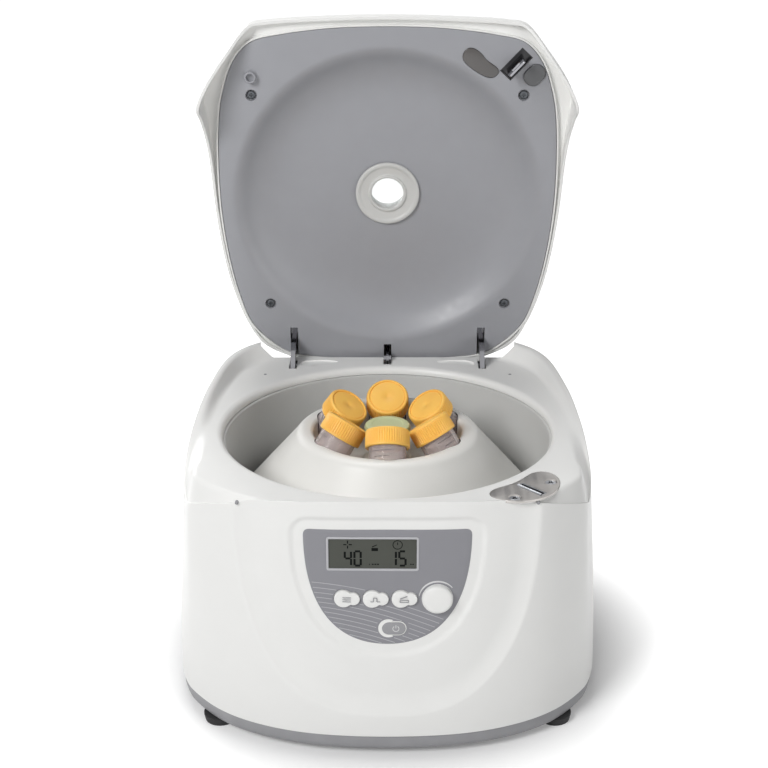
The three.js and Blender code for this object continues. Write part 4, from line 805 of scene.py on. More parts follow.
def ribbon(shape, path, width, lift, sizes, thickness=0.1, closed=False):
    """A thin line laid on the panel along a path in the front view."""
    n = len(path)
    low, high = lift - 0.05, lift + thickness
    rings = []
    for i, p in enumerate(path):
        a = path[(i - 1) % n] if closed else path[max(i - 1, 0)]
        b = path[(i + 1) % n] if closed else path[min(i + 1, n - 1)]
        side = Vector((-(b - a).y, (b - a).x)).normalized() * width / 2
        corners = ((p + side, high), (p - side, high), (p - side, low), (p + side, low))
        rings.append([on_front(q.x, q.y, level, sizes) for q, level in corners])
    if closed:
        shape.ring_grid(rings, closed=True)
    else:
        shape.solid(rings)


def two_lobes(x, grow, steps=40):
    """Outline of a push button: a large lobe with a smaller one to its right, blended."""
    out = []
    for a in turn(steps):
        d = polar(1, a)
        far = 0
        for cx, r in ((-2, BUTTON_R + grow), (LOBE_X - 2, LOBE_R + grow)):
            along = d.x * cx
            disc = along * along - cx * cx + r * r
            if disc > 0:
                far = max(far, along + math.sqrt(disc))
        out.append(Vector((x + 2 + d.x * far, BUTTON_Z + d.y * far)))
    return out


def front_prism(outline, lift, bevel, sizes):
    """A key with its face on the front and a rounded edge, its stem running back to a plane."""
    rings = [[Vector((p.x, KEY_BACK, p.y)) for p in outline]]
    for corner in arc(bevel, sweep(0, 90, 3)):
        edge = grown(outline, corner.x - bevel)
        rings.append([on_front(p.x, p.y, lift, sizes) + Vector((0, bevel - corner.y, 0)) for p in edge])
    return Shape().solid(rings)


def panel_rings(sizes):
    """Rings from the panel's back edge round its rim and over its face."""
    middle = PANEL_TOP - PANEL_HEIGHT / 2
    rings = []
    for inset, lift in ((0, -PANEL_THICK), (0, -0.35), (0.1, -0.12), (0.35, 0)):
        rings.append([on_front(p.x, p.y, lift, sizes) for p in grown(PANEL_EDGE, -inset)])
    edge = grown(PANEL_EDGE, -0.35)
    for k in range(1, 16):
        f = 1 - k / 16
        rings.append([on_front(p.x * f, middle + (p.y - middle) * f, 0, sizes) for p in edge])
    return rings


def build_panel():
    obj = mesh_of("panel_face", Shape().solid(panel_rings(centrifuge_sizes())))
    holes = [two_lobes(x, KEY_GAP) for x in BUTTON_XS] + [
        pill(START_LENGTH + 2 * KEY_GAP, START_HEIGHT + 2 * KEY_GAP, START_X, START_Z),
        round_rect(LCD_WIDTH - 1.4, LCD_HEIGHT - 1.4, 1.2, LCD_X, LCD_Z),
        arc(3.6, turn(32), KNOB_X, KNOB_Z),
    ]
    cuts = [Shape().solid([[Vector((p.x, y, p.y)) for p in hole] for y in (-100, -180)]) for hole in holes]
    combine(obj, cuts)
    dress(obj, "base", "panel_print", ["control_panel"])


def stripe_may_run(p):
    """Whether a place is on the film and clear of the keys and the knob."""
    if abs(p.x - START_X) < START_LENGTH / 2 + 1.8 and abs(p.y - START_Z) < START_HEIGHT / 2 + 1:
        return False
    rounds = [(START_X - 3.9, START_Z, 8.1), (KNOB_X, KNOB_Z, KNOB_R + 2.4)]
    for x in BUTTON_XS:
        rounds += [(x, BUTTON_Z, BUTTON_R + 0.9), (x + LOBE_X, BUTTON_Z, LOBE_R + 0.9)]
    return panel_gap(p.x, p.y) < -0.7 and all((p - Vector((x, z))).length >= r for x, z, r in rounds)


def build_stripes():
    """Fine lines that fan across the lower part of the panel."""
    sizes = centrifuge_sizes()
    shape = Shape()
    for k in range(sizes.stripe_count):
        f = k / (sizes.stripe_count - 1)
        left = Vector((-PANEL_HALF - 2, mix(-62, -99, f ** 0.94)))
        right = Vector((mix(64, 12, f), mix(-97.5, -116, f ** 0.8)))
        bend = Vector((mix(-10, -30, f), mix(-61, -99.5, f)))
        runs = [[]]
        for j in range(97):
            p = curve(j / 96, left, bend, right)
            if stripe_may_run(p):
                runs[-1].append(p)
            elif runs[-1]:
                runs.append([])
        for run in runs:
            if len(run) > 2:
                ribbon(shape, run, sizes.stripe_width / MM, 0, sizes, 0.08)
    dress(mesh_of("panel_stripes", shape), "base", "stripe_print")


def build_marks():
    """Printed surrounds and plain signs on the panel."""
    sizes = centrifuge_sizes()
    shape = Shape()
    halo = arc(KNOB_R + 1.9, sweep(172, 36, 40), KNOB_X, KNOB_Z)
    for k in range(40):
        ribbon(shape, halo[k:k + 2], mix(0.5, 1.3, math.sin(math.pi * k / 40)), 0, sizes)
    dress(mesh_of("panel_marks", shape), "base", "pale_print")
    # signs on the buttons: a list, a pulse and a lid
    signs = {
        1: [[(-2.6, 1.6), (3.4, 1.6)], [(-2.6, 0), (3.4, 0)], [(-2.6, -1.6), (3.4, -1.6)]],
        2: [[(-3.2, -1.4), (-1, -1.4), (-1, 1.6), (1.4, 1.6), (1.4, -1.4), (3.8, -1.4)]],
        3: [[(-2.6, -1.9), (3.4, -1.9), (3.4, -0.2), (-2.6, -0.2), (-2.6, -1.9)], [(-2.6, 0.8), (2.6, 2.9)]],
    }
    for k, strokes in signs.items():
        sign = Shape()
        cx = BUTTON_XS[k - 1] + 2
        for stroke in strokes:
            path = [Vector((cx + x, BUTTON_Z + y)) for x, y in stroke]
            for a, b in zip(path, path[1:]):
                steps = [a.lerp(b, j / 4) for j in range(5)]
                ribbon(sign, steps, 0.5, 2.5, sizes, 0.05)
        dress(mesh_of(f"button_sign_{k}", sign), f"button_{k}", "panel_print")


def build_buttons():
    sizes = centrifuge_sizes()
    for k, x in enumerate(BUTTON_XS, 1):
        button = mesh_of(f"push_button_{k}", front_prism(two_lobes(x, 0), BUTTON_LIFT, 0.45, sizes))
        dress(button, f"button_{k}", "white_moulding", [f"button_{k}"])
    shape = front_prism(pill(START_LENGTH, START_HEIGHT, START_X, START_Z), START_LIFT, 0.5, sizes)
    dress(mesh_of("start_key", shape), "start_button", "base_moulding", ["start_button"])
    surround = Shape()
    edge = pill(START_LENGTH + 0.4, START_HEIGHT + 0.4, START_X, START_Z)
    ribbon(surround, edge, 0.9, 0, sizes, 0.35, closed=True)
    moon = arc(7.3, sweep(62, 298, 24), START_X - 3.9, START_Z)
    moon += arc(5.4, sweep(270, 90, 24), START_X - 2.2, START_Z)
    printed(surround, moon, 0.4, sizes)
    dress(mesh_of("start_surround", surround), "base", "white_moulding")
    sign = Shape()
    x = START_X + 1.5
    ribbon(sign, arc(2.2, sweep(125, 415, 24), x, START_Z), 0.5, 0.92, sizes, 0.05)
    ribbon(sign, [Vector((x, START_Z + y)) for y in (0.4, 1.4, 2.9)], 0.5, 0.92, sizes, 0.05)
    dress(mesh_of("start_sign", sign), "start_button", "pale_print")


def build_lcd():
    sizes = centrifuge_sizes()
    middle = Vector((LCD_X, LCD_Z))
    outer = round_rect(LCD_WIDTH - 0.6, LCD_HEIGHT - 0.6, 1.8, *middle)
    inner = round_rect(LCD_WIDTH - 3.8, LCD_HEIGHT - 3.8, 0.5, *middle)
    section = (
        (outer, -1), (outer, 0.2), (grown(outer, -0.4), 0.6),
        (grown(inner, 0.4), 0.6), (inner, 0.2), (inner, -1),
    )
    rings = [[on_front(p.x, p.y, lift, sizes) for p in outline] for outline, lift in section]
    frame_shape = Shape().ring_grid(rings, closed=True)
    dress(mesh_of("lcd_frame", frame_shape), "base", "stripe_print", ["lcd_bezel"])
    glass = grown(inner, 0.2)
    rings = []
    for f, lift in [(1, -1.2)] + [(1 - k / 8, -0.5) for k in range(8)]:
        rings.append([on_front(*(middle + (p - middle) * f), lift, sizes) for p in glass])
    dress(mesh_of("lcd_window", Shape().solid(rings)), "base", "lcd_face", ["lcd_screen"])
    ink = Shape()

    def stroke(width, *path, closed=False):
        ribbon(ink, [middle + Vector(p) for p in path], width, -0.48, sizes, 0.06, closed)

    segments = {
        "a": ((-1, 2), (1, 2)), "b": ((1, 2), (1, 0)), "c": ((1, 0), (1, -2)), "d": ((-1, -2), (1, -2)),
        "e": ((-1, 0), (-1, -2)), "f": ((-1, 2), (-1, 0)), "g": ((-1, 0), (1, 0)),
    }
    # generic figures: the seven-segment bars of 4, 0, 1 and 5
    for cx, bars in ((-17.4, "bcfg"), (-10.6, "abcdef"), (14.2, "bc"), (21, "acdfg")):
        for key in bars:
            a, b = (Vector((cx + x * 2.2, y * 2.8 - 3.6)) for x, y in segments[key])
            pull = (b - a).normalized() * 0.4
            stroke(1.5, a + pull, a.lerp(b, 0.5), b - pull)
    # a small wheel, a clock, a flag and a row of dashes
    for a in turn(4):
        stroke(0.8, *(Vector((-17.6, 7.2)) + polar(r, a).xy for r in (0.8, 3)))
    stroke(0.55, *arc(3.3, turn(28), 17.6, 7), closed=True)
    stroke(0.55, (17.6, 7), (17.6, 8.9))
    stroke(2.3, (-0.8, 3.4), (3.8, 3.4))
    stroke(0.6, (-0.4, 5.4), (3, 7))
    for x, w in ((-2.2, 0.6), (0, 1.2), (1.9, 1.2), (3.8, 1.2), (27, 1), (28.6, 1)):
        stroke(0.8, (x - w / 2, -8.2), (x + w / 2, -8.2))
    dress(mesh_of("lcd_figures", ink), "base", "ink")


def build_knob():
    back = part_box("control_knob")[1].y / MM - AXIS_Y
    face = back - KNOB_LENGTH
    ribs, rib_height = 60, 0.07
    # radius, place along the knob and whether it's ribbed there
    profile = [
        (3, back, 0), (3, back - 0.2, 0), (KNOB_R, back - 0.2, 0), (KNOB_R, back - 1, 1),
        (KNOB_R - 0.15, face + 3.2, 1),
    ]
    profile += [(KNOB_R - 3 + 2.85 * math.cos(a), face + 3 - 2.6 * math.sin(a), 0) for a in sweep(15, 90, 5)]
    profile += [(5, face + 0.15, 0), (2, face + 0.03, 0), (0.3, face, 0)]
    rings = []
    for r, y, ribbed in profile:
        ring = []
        for a in turn(ribs * 4):
            out = r + rib_height * ribbed * math.cos(a * ribs)
            ring.append(Vector((KNOB_X + out * math.cos(a), y, KNOB_Z + out * math.sin(a))))
        rings.append(ring)
    shape = Shape().solid(rings)
    dress(mesh_of("speed_knob", shape), "control_knob", "white_moulding", ["control_knob"])


# ---------- the latch, the deck's small parts and the rear


def build_latch():
    place = latch_place()
    plate = Shape().prism(latch_outline(LATCH_LONG, LATCH_BROAD), -LATCH_SHEET, -0.02, 0.35, place=place)
    obj = mesh_of("latch_cover", plate)
    cuts = [Shape().prism(round_rect(*LATCH_SLOT, 0.8), -10, 10, place=place)]
    seat = [(0, -9), (2.1, -9), (2.1, -2.1), (5.2, 0.4), (0, 0.4)]
    heads = Shape()
    for x, y in ((0.8, -19), (0.8, 19)):
        cuts.append(Shape().lathe(seat, 40, closed=False, place=place @ Matrix.Translation((x, y, 0))))
        screw(heads, x, y, -1.9, 4.5, place=place, lift=1.5)
    combine(obj, cuts)
    dress(obj, "base", "plate_brushed", ["latch_plate"])
    dress(mesh_of("latch_screws", heads), "base", "steel_brushed")
    outer, inner = round_rect(23, 5.8, 0.6), round_rect(21.4, 4.2, 0.3)
    section = (
        (outer, -5), (outer, -0.15), (grown(outer, -0.3), 0.05),
        (grown(inner, 0.2), 0.05), (inner, -0.15), (inner, -5),
    )
    rings = [[place @ Vector((p.x, p.y, z)) for p in line] for line, z in section]
    lip = Shape().ring_grid(rings, closed=True)
    bar = [(0, -11.2), (0.9, -11.2), (1.15, -11), (1.15, 11), (0.9, 11.2), (0, 11.2)]
    beside = Matrix.Translation((0, -2.7, 0.1)) @ Matrix.Rotation(math.pi / 2, 4, "Y")
    lip.lathe(bar, 24, closed=False, place=place @ beside)
    dress(mesh_of("latch_slot_lip", lip), "base", "steel_brushed")


def build_deck_marks():
    pips = Shape()
    pip = [(0, -2), (1.3, -2), (1.3, 0.1), (0.9, 0.35), (0.2, 0.4)]
    for x in (-105.7, 105.7):
        forward = Matrix.Translation((x, front_y(x, -3.4), -3.4)) @ Matrix.Rotation(math.pi / 2, 4, "X")
        pips.lathe(pip, 24, closed=False, place=forward)
    for x in (-104, 104):
        pips.lathe(pip, 24, closed=False, place=Matrix.Translation((x, 111, 0)))
    dress(mesh_of("deck_pips", pips), "base", "base_moulding")


def build_rear():
    """The power inlet's flange and contacts."""
    wall_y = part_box("power_inlet")[1].y / MM - AXIS_Y
    place = rear_place(INLET_X, INLET_Z, 0)
    outer, inner = round_rect(31, 25, 3), round_rect(22.4, 16.6, 2)
    shoulder = grown(outer, -3.6)
    section = (
        (inner, -15), (inner, 0.3), (grown(inner, 0.5), 0.8),
        (grown(outer, -5.2), 0.8), (shoulder, -2), (shoulder, -22),
    )
    rings = [[place @ Vector((p.x, p.y, wall_y + level)) for p in line] for line, level in section]
    inlet = Shape().ring_grid(rings).cap(rings[0]).cap(rings[-1])
    dress(mesh_of("inlet_body", inlet), "base", "dark_moulding", ["power_inlet"])
    pins = Shape()
    for x, z in ((-7, 1.8), (0, -3.5), (7, 1.8)):
        pins.prism(round_rect(2, 5, 0.6, x, z), wall_y - 15, wall_y - 4, 0.5, place=place)
    dress(mesh_of("inlet_pins", pins), "base", "steel_brushed")


# ---------- rotor and tubes


def tube_place(k):
    turn = Matrix.Rotation(math.radians(60 * k - 90), 4, "Z")
    lean = Matrix.Rotation(math.radians(-TUBE_LEAN), 4, "Y")
    return turn @ Matrix.Translation((TUBE_RING, 0, TUBE_TOP)) @ lean


def build_rotor():
    radius, top, deep = 118.5, -2, 90
    points = [Vector((r * radius, top - z * deep)) for r, z in ROTOR_SHARES]
    radii = [0, 2, 3, 2.5, 3, 3, 5, 3, 2.5, 2, 1, 3, 6, 4, 1.5, 0]
    obj = mesh_of("rotor_head", Shape().lathe(rounded(points, radii, 4), 180, closed=False))
    low, room = -TUBE_LENGTH - 0.3, 0.6
    bore = [
        (0, low), (TUBE_TIP + room, low), (TUBE_R + room, -TUBE_LENGTH + TUBE_CONE),
        (TUBE_R + room, -40), (TUBE_R + 1.6, 20), (0, 20),
    ]
    cuts = [Shape().lathe(bore, 64, closed=False, place=tube_place(k)) for k in range(TUBE_COUNT)]
    cuts.append(Shape().lathe([(0, -140), (6.3, -140), (6.3, 40), (0, 40)], 40, closed=False))
    combine(obj, cuts)
    dress(obj, "rotor", "rotor_moulding", ["rotor"])
    # faces of the bore walls take the dark finish: painted shade for the depth of the bores
    obj.data.materials.append(material("bore_painted_shade"))
    undo = [(TO_ROW @ tube_place(k)).inverted() for k in range(TUBE_COUNT)]
    for face in obj.data.polygons:
        for back in undo:
            local = back @ (face.center / MM)
            along = abs((back.to_3x3() @ face.normal).normalized().z)
            if along < 0.35 and math.hypot(local.x, local.y) < TUBE_R + 1.7:
                face.material_index = 1
    ribs, top = 24, NUT_TOP
    # radius, height and how far the ribs stand out
    profile = [
        (6.4, -25.6, 0), (13.6, -25.6, 0), (14.6, -24.8, 0), (14.6, top - 12, 0),
        (17.2, top - 9, 0.4), (17.6, top - 8, 0.4), (17.6, top - 2.2, 0.4), (17, top - 0.8, 0.2),
        (15.8, top - 0.1, 0), (14.6, top, 0), (12.4, top, 0), (12, top - 0.4, 0),
        (11.6, top - 0.5, 0), (0.4, top - 0.5, 0),
    ]
    rings = [[polar(r + wave * math.cos(ribs * a), a, z) for a in turn(ribs * 6)] for r, z, wave in profile]
    nut = mesh_of("rotor_knob_nut", Shape().solid(rings))
    dress(nut, "rotor", "nut_moulding", ["rotor_nut"])


def tube_shape(place):
    """A conical tube, open at the neck."""
    shoulder, wall = 13.3, TUBE_WALL
    outer = [
        (TUBE_TIP, -TUBE_LENGTH), (TUBE_R, -TUBE_LENGTH + TUBE_CONE), (TUBE_R, -4.2),
        (shoulder, -4), (shoulder, -1.8),
    ]
    inner = [
        (shoulder - wall, -1.8), (shoulder - wall, -5), (TUBE_R - wall, -TUBE_LENGTH + TUBE_CONE + 0.6),
        (TUBE_TIP - 0.6, -TUBE_LENGTH + wall), (0.3, -TUBE_LENGTH + wall),
    ]
    profile = [(0.3, -TUBE_LENGTH)] + rounded(outer, [0, 4, 0.2, 0.2, 0], 4) + inner
    return Shape().lathe(profile, 64, closed=False, place=place)


def cap_shape(place):
    """A fluted screw cap with a raised ring on its top."""
    ribs, low, inside, plate = 54, -CAP_HEIGHT, 14.75, 1.4
    groove = (-1, -0.7, 0, 0, 0, -0.7)
    turns = turn(ribs * len(groove))
    # radius, height and the depth of the grooves
    profile = [
        (inside, low, 0), (16.6, low, 0), (17, low + 0.4, 0), (17, low + 1.4, 0), (17, low + 1.8, 0.75),
        (16.9, -2.4, 0.75), (16.7, -1.5, 0.4), (16.1, -0.5, 0), (15.6, -0.1, 0), (15.2, 0, 0), (14.7, 0, 0),
        (14.4, -0.2, 0), (14.2, -1, 0), (13.8, -1, 0), (13.5, -0.5, 0), (13.2, -0.45, 0), (7, -0.35, 0),
        (1.6, -0.3, 0), (1.2, -0.6, 0), (0.3, -0.6, 0),
    ]
    rings = [[polar(r + cut * groove[k % 6], a, z) for k, a in enumerate(turns)] for r, z, cut in profile]
    shape = Shape().ring_grid(rings)
    shape.close(len(shape.points) - len(turns), len(turns))
    under = ((inside, low), (inside, -plate), (0.3, -plate - 0.4))
    shape.ring_grid([[polar(r, a, z) for a in turns] for r, z in under], flip=True)
    shape.close(len(shape.points) - len(turns), len(turns), flip=True)
    return shape.moved(0, place)


def build_tubes():
    floor = -TUBE_LENGTH
    liquid = [
        (0.3, floor + 1.6), (TUBE_TIP - 1, floor + 1.6), (TUBE_R - 1.5, floor + TUBE_CONE + 1),
        (TUBE_R - 1.5, -31), (TUBE_R - 1.7, -31.4), (0.3, -31.4),
    ]
    line = ((TUBE_R - 0.05, -0.17), (TUBE_R + 0.06, -0.17), (TUBE_R + 0.06, 0.17), (TUBE_R - 0.05, 0.17))
    for k in range(TUBE_COUNT):
        number, body, place = k + 1, "rotor" if k else "tube_1", tube_place(k)
        tube = mesh_of(f"sample_tube_{number}", tube_shape(place))
        dress(tube, body, "tube_clear", [f"tube_{number}"])
        contents = Shape().lathe(liquid, 48, closed=False, place=place)
        dress(mesh_of(f"tube_contents_{number}", contents), body, "tube_liquid")
        lines = Shape()
        for step in range(18):
            z = -18 - step * 4.5
            wide = 0.42 if step % 2 else 0.7
            angles = [mix(-wide, wide, j / 8) + math.radians(-20) for j in range(9)]
            lines.solid([[polar(r, a, z + h) for r, h in line] for a in angles])
        marks = mesh_of(f"tube_marks_{number}", lines.moved(0, place))
        dress(marks, body, "tube_print")
        cap = mesh_of(f"screw_cap_{number}", cap_shape(place))
        dress(cap, body, "cap_moulding", [f"cap_{number}"], sharp=40)


# ---------- the lid


def open_place():
    return (Matrix.Translation((0, PIVOT_Y, PIVOT_Z)) @ Matrix.Rotation(math.radians(-LID_OPEN), 4, "X")
            @ Matrix.Translation((0, -PIVOT_Y, -PIVOT_Z)))


def liner_ring():
    stations = [(x * LINER_HALF, y * (LINER_FRONT if y < 0 else LINER_BACK), 0) for x, y in LINER_SHARES]
    return mirrored(stations, [12] * 14)


def lid_columns():
    """The lid's cross-section at each column of its skirt: outside, inside, ledge and raised border."""
    half = [(x * LID_HALF, y * (LID_FRONT if y < 0 else LID_BACK), z * WING_DROP) for x, y, z in LID_SHARES]
    skirt = mirrored(half, [14, 12, 6, 8, 8, 6, 6, 6, 6, 10, 8, 8, 8, 8, 8, 10, 12])
    angles = sorted((math.atan2(p.y, p.x), p.length) for p in liner_ring())

    def liner_at(direction):
        a = math.atan2(direction.y, direction.x)
        k = next((i for i, (angle, _) in enumerate(angles) if angle > a), 0)
        (a0, r0), (a1, r1) = angles[k - 1], angles[k]
        gap = (a1 - a0) % (2 * math.pi)
        return mix(r0, r1, ((a - a0) % (2 * math.pi)) / gap if gap else 0)

    dome = eased(DOME_SHARES, 4)[2:]
    thick, ledge, border_width, border_low, border_high = 2.6, 9.4, 1.4, 4.4, 8
    radii = [0, 0.9] + [0] * len(dome) + [0.6, 0, 0, 0, 0, 0, 0.5, 0.5, 1.2, 2.4, 0]
    columns = []
    for p, n in zip(skirt, inward_of(skirt)):
        flat = Vector((p.x, p.y, 0))
        out = flat.normalized()
        edge = liner_at(out) + 0.3

        def dome_point(share, height, inset):
            return flat * (1 - share) + n * inset + Vector((0, 0, height))

        chain = [p + n * thick * 0.9, p.copy()]
        chain += [dome_point(q.x, q.y * DOME_RISE, 0) for q in dome]
        chain += [out * WINDOW_HOLE + Vector((0, 0, z)) for z in (DOME_RISE, DOME_RISE - thick)]
        for share, height in ((0.28, 0.9), (0.05, 0.64)):
            chain.append(dome_point(share, height * DOME_RISE - thick, thick * (1 - share)))
        ledge_out, ledge_in = p + n * (thick + 0.4), p + n * (thick + 0.1)
        room = (flat + n * thick).length - (edge + border_width)
        ledge_out.z, ledge_in.z = ledge, border_high - (0 if room > 0.5 else 0.4)
        chain.append(ledge_out)
        for away, z in ((0, ledge), (0, border_low), (border_width, border_low), (border_width, border_high)):
            chain.append(out * (edge + away) + Vector((0, 0, z)))
        chain += [ledge_in, p + n * thick * 0.9]
        columns.append(rounded(chain, radii)[:-1])
    return columns


SCREW_SPOTS = ((-110.7, -89.4), (110.7, -89.4), (-101.1, 94.2), (101.1, 94.2))


def build_lid():
    obj = mesh_of("lid_cover", Shape().ring_grid(rows_of(lid_columns()), closed=True), open_place())
    dress(obj, "lid", "white_moulding", ["lid_shell"])


def dish_profile():
    """The dish's section as (radius share, rise share): a soft outer fillet, then one even curve."""
    rise = 1 - DISH_EDGE ** DISH_POWER
    foot = DISH_EDGE + rise / (DISH_POWER * DISH_EDGE ** (DISH_POWER - 1))
    start, middle, end = Vector((foot + 0.04, 0)), Vector((foot, 0)), Vector((DISH_EDGE, rise))
    out = [curve(j / 8, start, middle, end) for j in range(9)]
    inner = (WINDOW_HOLE - 0.3) / DISH_R
    for j in range(1, 31):
        share = mix(DISH_EDGE, inner, (j / 30) ** 1.3)
        out.append(Vector((share, 1 - share ** DISH_POWER)))
    return out


def build_liner():
    place, latch, flip = open_place(), latch_place(), Matrix.Rotation(math.pi, 4, "X")
    spots = [Matrix.Translation((x, y, 0)) for x, y in SCREW_SPOTS]
    dish = dish_profile()
    columns = []
    for p in liner_ring():
        out = Vector((p.x, p.y, 0)).normalized()
        chain = [Vector((p.x, p.y, LINER_Z + LINER_SHEET)), Vector((p.x, p.y, LINER_Z)),
                 out * (dish[0].x * DISH_R + 1) + Vector((0, 0, LINER_Z))]
        line = rounded(chain, [0, 0.8, 0])
        for q in dish:
            line.append(out * (q.x * DISH_R) + Vector((0, 0, LINER_Z + q.y * DISH_RISE)))
        for q in reversed(dish[1::3]):
            line.append(out * (q.x * DISH_R + 0.9) + Vector((0, 0, LINER_Z + LINER_SHEET + q.y * DISH_RISE)))
        columns.append(line)
    obj = mesh_of("lid_inner_face", Shape().ring_grid(rows_of(columns), closed=True), place)
    # slots for the two arms and the strut
    slots = ((-ARM_X, 117), (ARM_X, 117), (0, 133))
    cuts = [Shape().block(SLOT_WIDTH, 170 - front, 18, x, (front + 170) / 2, 5) for x, front in slots]
    cuts.append(Shape().block(25.7, 12.1, 20, 0, 1.6, 5, place=latch))
    kidney_place = Matrix.Translation((*KIDNEY_SPOT, 0)) @ Matrix.Rotation(math.radians(33), 4, "Z")
    cuts.append(Shape().prism(bezier_outline(KIDNEY_SHARES, 16.8, 7.8), 2, 6.2, place=kidney_place))
    cup = [(0, 3), (5.2, 3), (4.7, 5.3), (4.4, 7), (0, 7)]
    cuts += [Shape().lathe(cup, 48, closed=False, place=spot) for spot in spots]
    combine(obj, cuts, matrix=place)
    dress(obj, "lid", "liner_moulding", ["lid_liner"])
    # a real pocket round the hook's slot, in a dark finish that is painted shade for the deep slot
    pocket_shade = Shape().block(25.5, 12, 0.8, 0, 1.6, 9.9, place=latch)
    rise = 9.9 - LINER_Z
    for s in (-1, 1):
        for width, depth, x, y in ((0.8, 12, s * 12.4, 1.6), (25.5, 0.8, 0, 1.6 + s * 5.6)):
            pocket_shade.block(width, depth, rise, x, y, LINER_Z + 0.2 + rise / 2, place=latch)
    dress(mesh_of("hook_pocket_shade", pocket_shade, place), "lid", "dark_moulding")
    heads, cup_shade = Shape(), Shape()
    for spot in spots:
        screw(heads, 0, 0, 0, 3.4, place=spot @ Matrix.Translation((0, 0, 7.2)) @ flip, lift=1.4)
        # a dark disc on the floor of each counterbore: painted shade for the counterbore round the screw
        cup_shade.lathe([(4.4, 7.6), (4.4, 7), (0.3, 7), (0.3, 7.6)], 48, place=spot)
    dress(mesh_of("lid_screws", heads, place), "lid", "motor_paint")
    dress(mesh_of("screw_cup_shade", cup_shade, place), "lid", "dark_moulding")
    under = [Vector((p.x, -p.y)) for p in reversed(bezier_outline(KIDNEY_SHARES, 16.4, 7.4))]
    plate = Shape().prism(under, -1.2, 0.4, 0.4, place=kidney_place @ Matrix.Translation((0, 0, 5)) @ flip)
    dress(mesh_of("sensor_cover", plate, place), "lid", "dark_gloss", ["switch_plate"])
    peg = [
        (0.3, -1.6), (3, -1.6), (3.1, -4.6), (3.5, -5), (4.3, -5), (4.8, -4.5),
        (4.9, -1.4), (5.6, -0.3), (6.4, 0.1), (6.4, 0.6), (0.3, 0.6),
    ]
    shape = Shape().lathe(peg, 48, closed=False, place=Matrix.Translation((*PEG_SPOT, LINER_Z)))
    dress(mesh_of("rest_peg", shape, place), "lid", "liner_moulding", ["lid_peg"])
    turned = Matrix.Translation((*PAD_SPOT, LINER_Z)) @ Matrix.Rotation(math.radians(43), 4, "Z") @ flip
    shape = Shape().prism(round_rect(15, 19, 7), -0.5, 1.6, 1.1, place=turned)
    dress(mesh_of("latch_pad", shape, place), "lid", "pad_moulding")


def build_window():
    place = open_place()
    face = 20.7
    profile = [
        (13.5, face + 5.6), (13.5, face + 0.8), (14.1, face + 0.3), (15.6, face + 0.3), (16.2, face + 2),
        (22.6, face + 1.1), (24.2, face), (26.2, face), (27, face + 0.8), (27, face + 2.7),
        (18.7, face + 2.7), (18.7, 41.6), (15.5, 41.6), (15.5, 27), (14.4, 27),
    ]
    radii = [0, 0.4, 0.5, 0.5, 0.8, 1.2, 0.8, 0.7, 0.6, 0.3, 0, 0.4, 0.4, 0, 0, 0]
    line = rounded(profile + profile[:1], radii)
    ring = mesh_of("window_frame", Shape().lathe(line[:-1]), place)
    # the frame takes the greyer chamber finish: painted shade for the ring's place deep in the lid's dish
    dress(ring, "lid", "chamber_moulding", ["window_ring"])
    pane = [(0.3, 27.1), (14.6, 27.1), (15.2, 27.5), (15.2, 29.6), (14.8, 30), (0.3, 30)]
    shape = Shape().lathe(pane, closed=False)
    dress(mesh_of("window_glazing", shape, place), "lid", "pane_clear", ["window_pane"])


def build_hook():
    place = open_place() @ latch_place()
    stand = Matrix(((1, 0, 0), (0, 0, 1), (0, 1, 0))).to_4x4()
    top, tip = 9.5, -16
    tongue = Shape().prism(round_rect(17, top - tip, 1.6, 0, (top + tip) / 2), -0.9, 0.9, 0.25, place=stand)
    obj = mesh_of("latch_tongue", tongue, place)
    combine(obj, [Shape().prism(round_rect(9, 6.6, 1, 0, -11), -5, 5, place=stand)], matrix=place)
    dress(obj, "lid", "chrome_polished", ["latch_hook"])
    # the hook's foot fills the bottom of the slot; its dark finish is painted shade for the slot
    foot = Shape().prism(round_rect(23.6, 9.8, 1), 7.7, top, 0.3)
    dress(mesh_of("latch_tongue_foot_shade", foot, place), "lid", "dark_moulding")


def build_arms():
    place = open_place() @ Matrix.Translation((0, PIVOT_Y, PIVOT_Z))
    strip = [Vector(p) for p in ((-ARM_OUTER, 17.6), (-46, 17.6), (-46, 20), (-ARM_INNER, 20))]
    strip += arc(ARM_INNER, sweep(180, 270, 12)) + arc(ARM_OUTER, sweep(270, 180, 24))
    strip = counter_clockwise(strip)
    stand = Matrix(((0, 0, 1), (1, 0, 0), (0, 1, 0))).to_4x4()
    for k, x in enumerate((-ARM_X, ARM_X), 1):
        side = Matrix.Translation((x, 0, 0)) @ stand
        obj = mesh_of(f"hinge_arm_strip_{k}", Shape().prism(strip, -2, 2, place=side), place)
        hub = Shape().prism(arc(4.4, turn(40)), -2, 2, place=side)
        spoke = Shape().block(4, 8.8, 9.4, x, 0, -7.6)
        pad = Shape().block(16, 23, 2.4, x, -34.5, 18.8)
        combine(obj, [hub, spoke, pad], "UNION", place)
        combine(obj, [Shape().prism(arc(2.8, turn(32)), -6, 6, place=side)], matrix=place)
        edge = obj.modifiers.new("edge", "BEVEL")
        edge.width = 0.3 * MM
        edge.segments = 2
        edge.limit_method = "ANGLE"
        edge.angle_limit = math.radians(60)
        dress(obj, "lid", "chrome_polished", [f"hinge_arm_{k}"])


# ---------- nodes of the frame that stay as they are

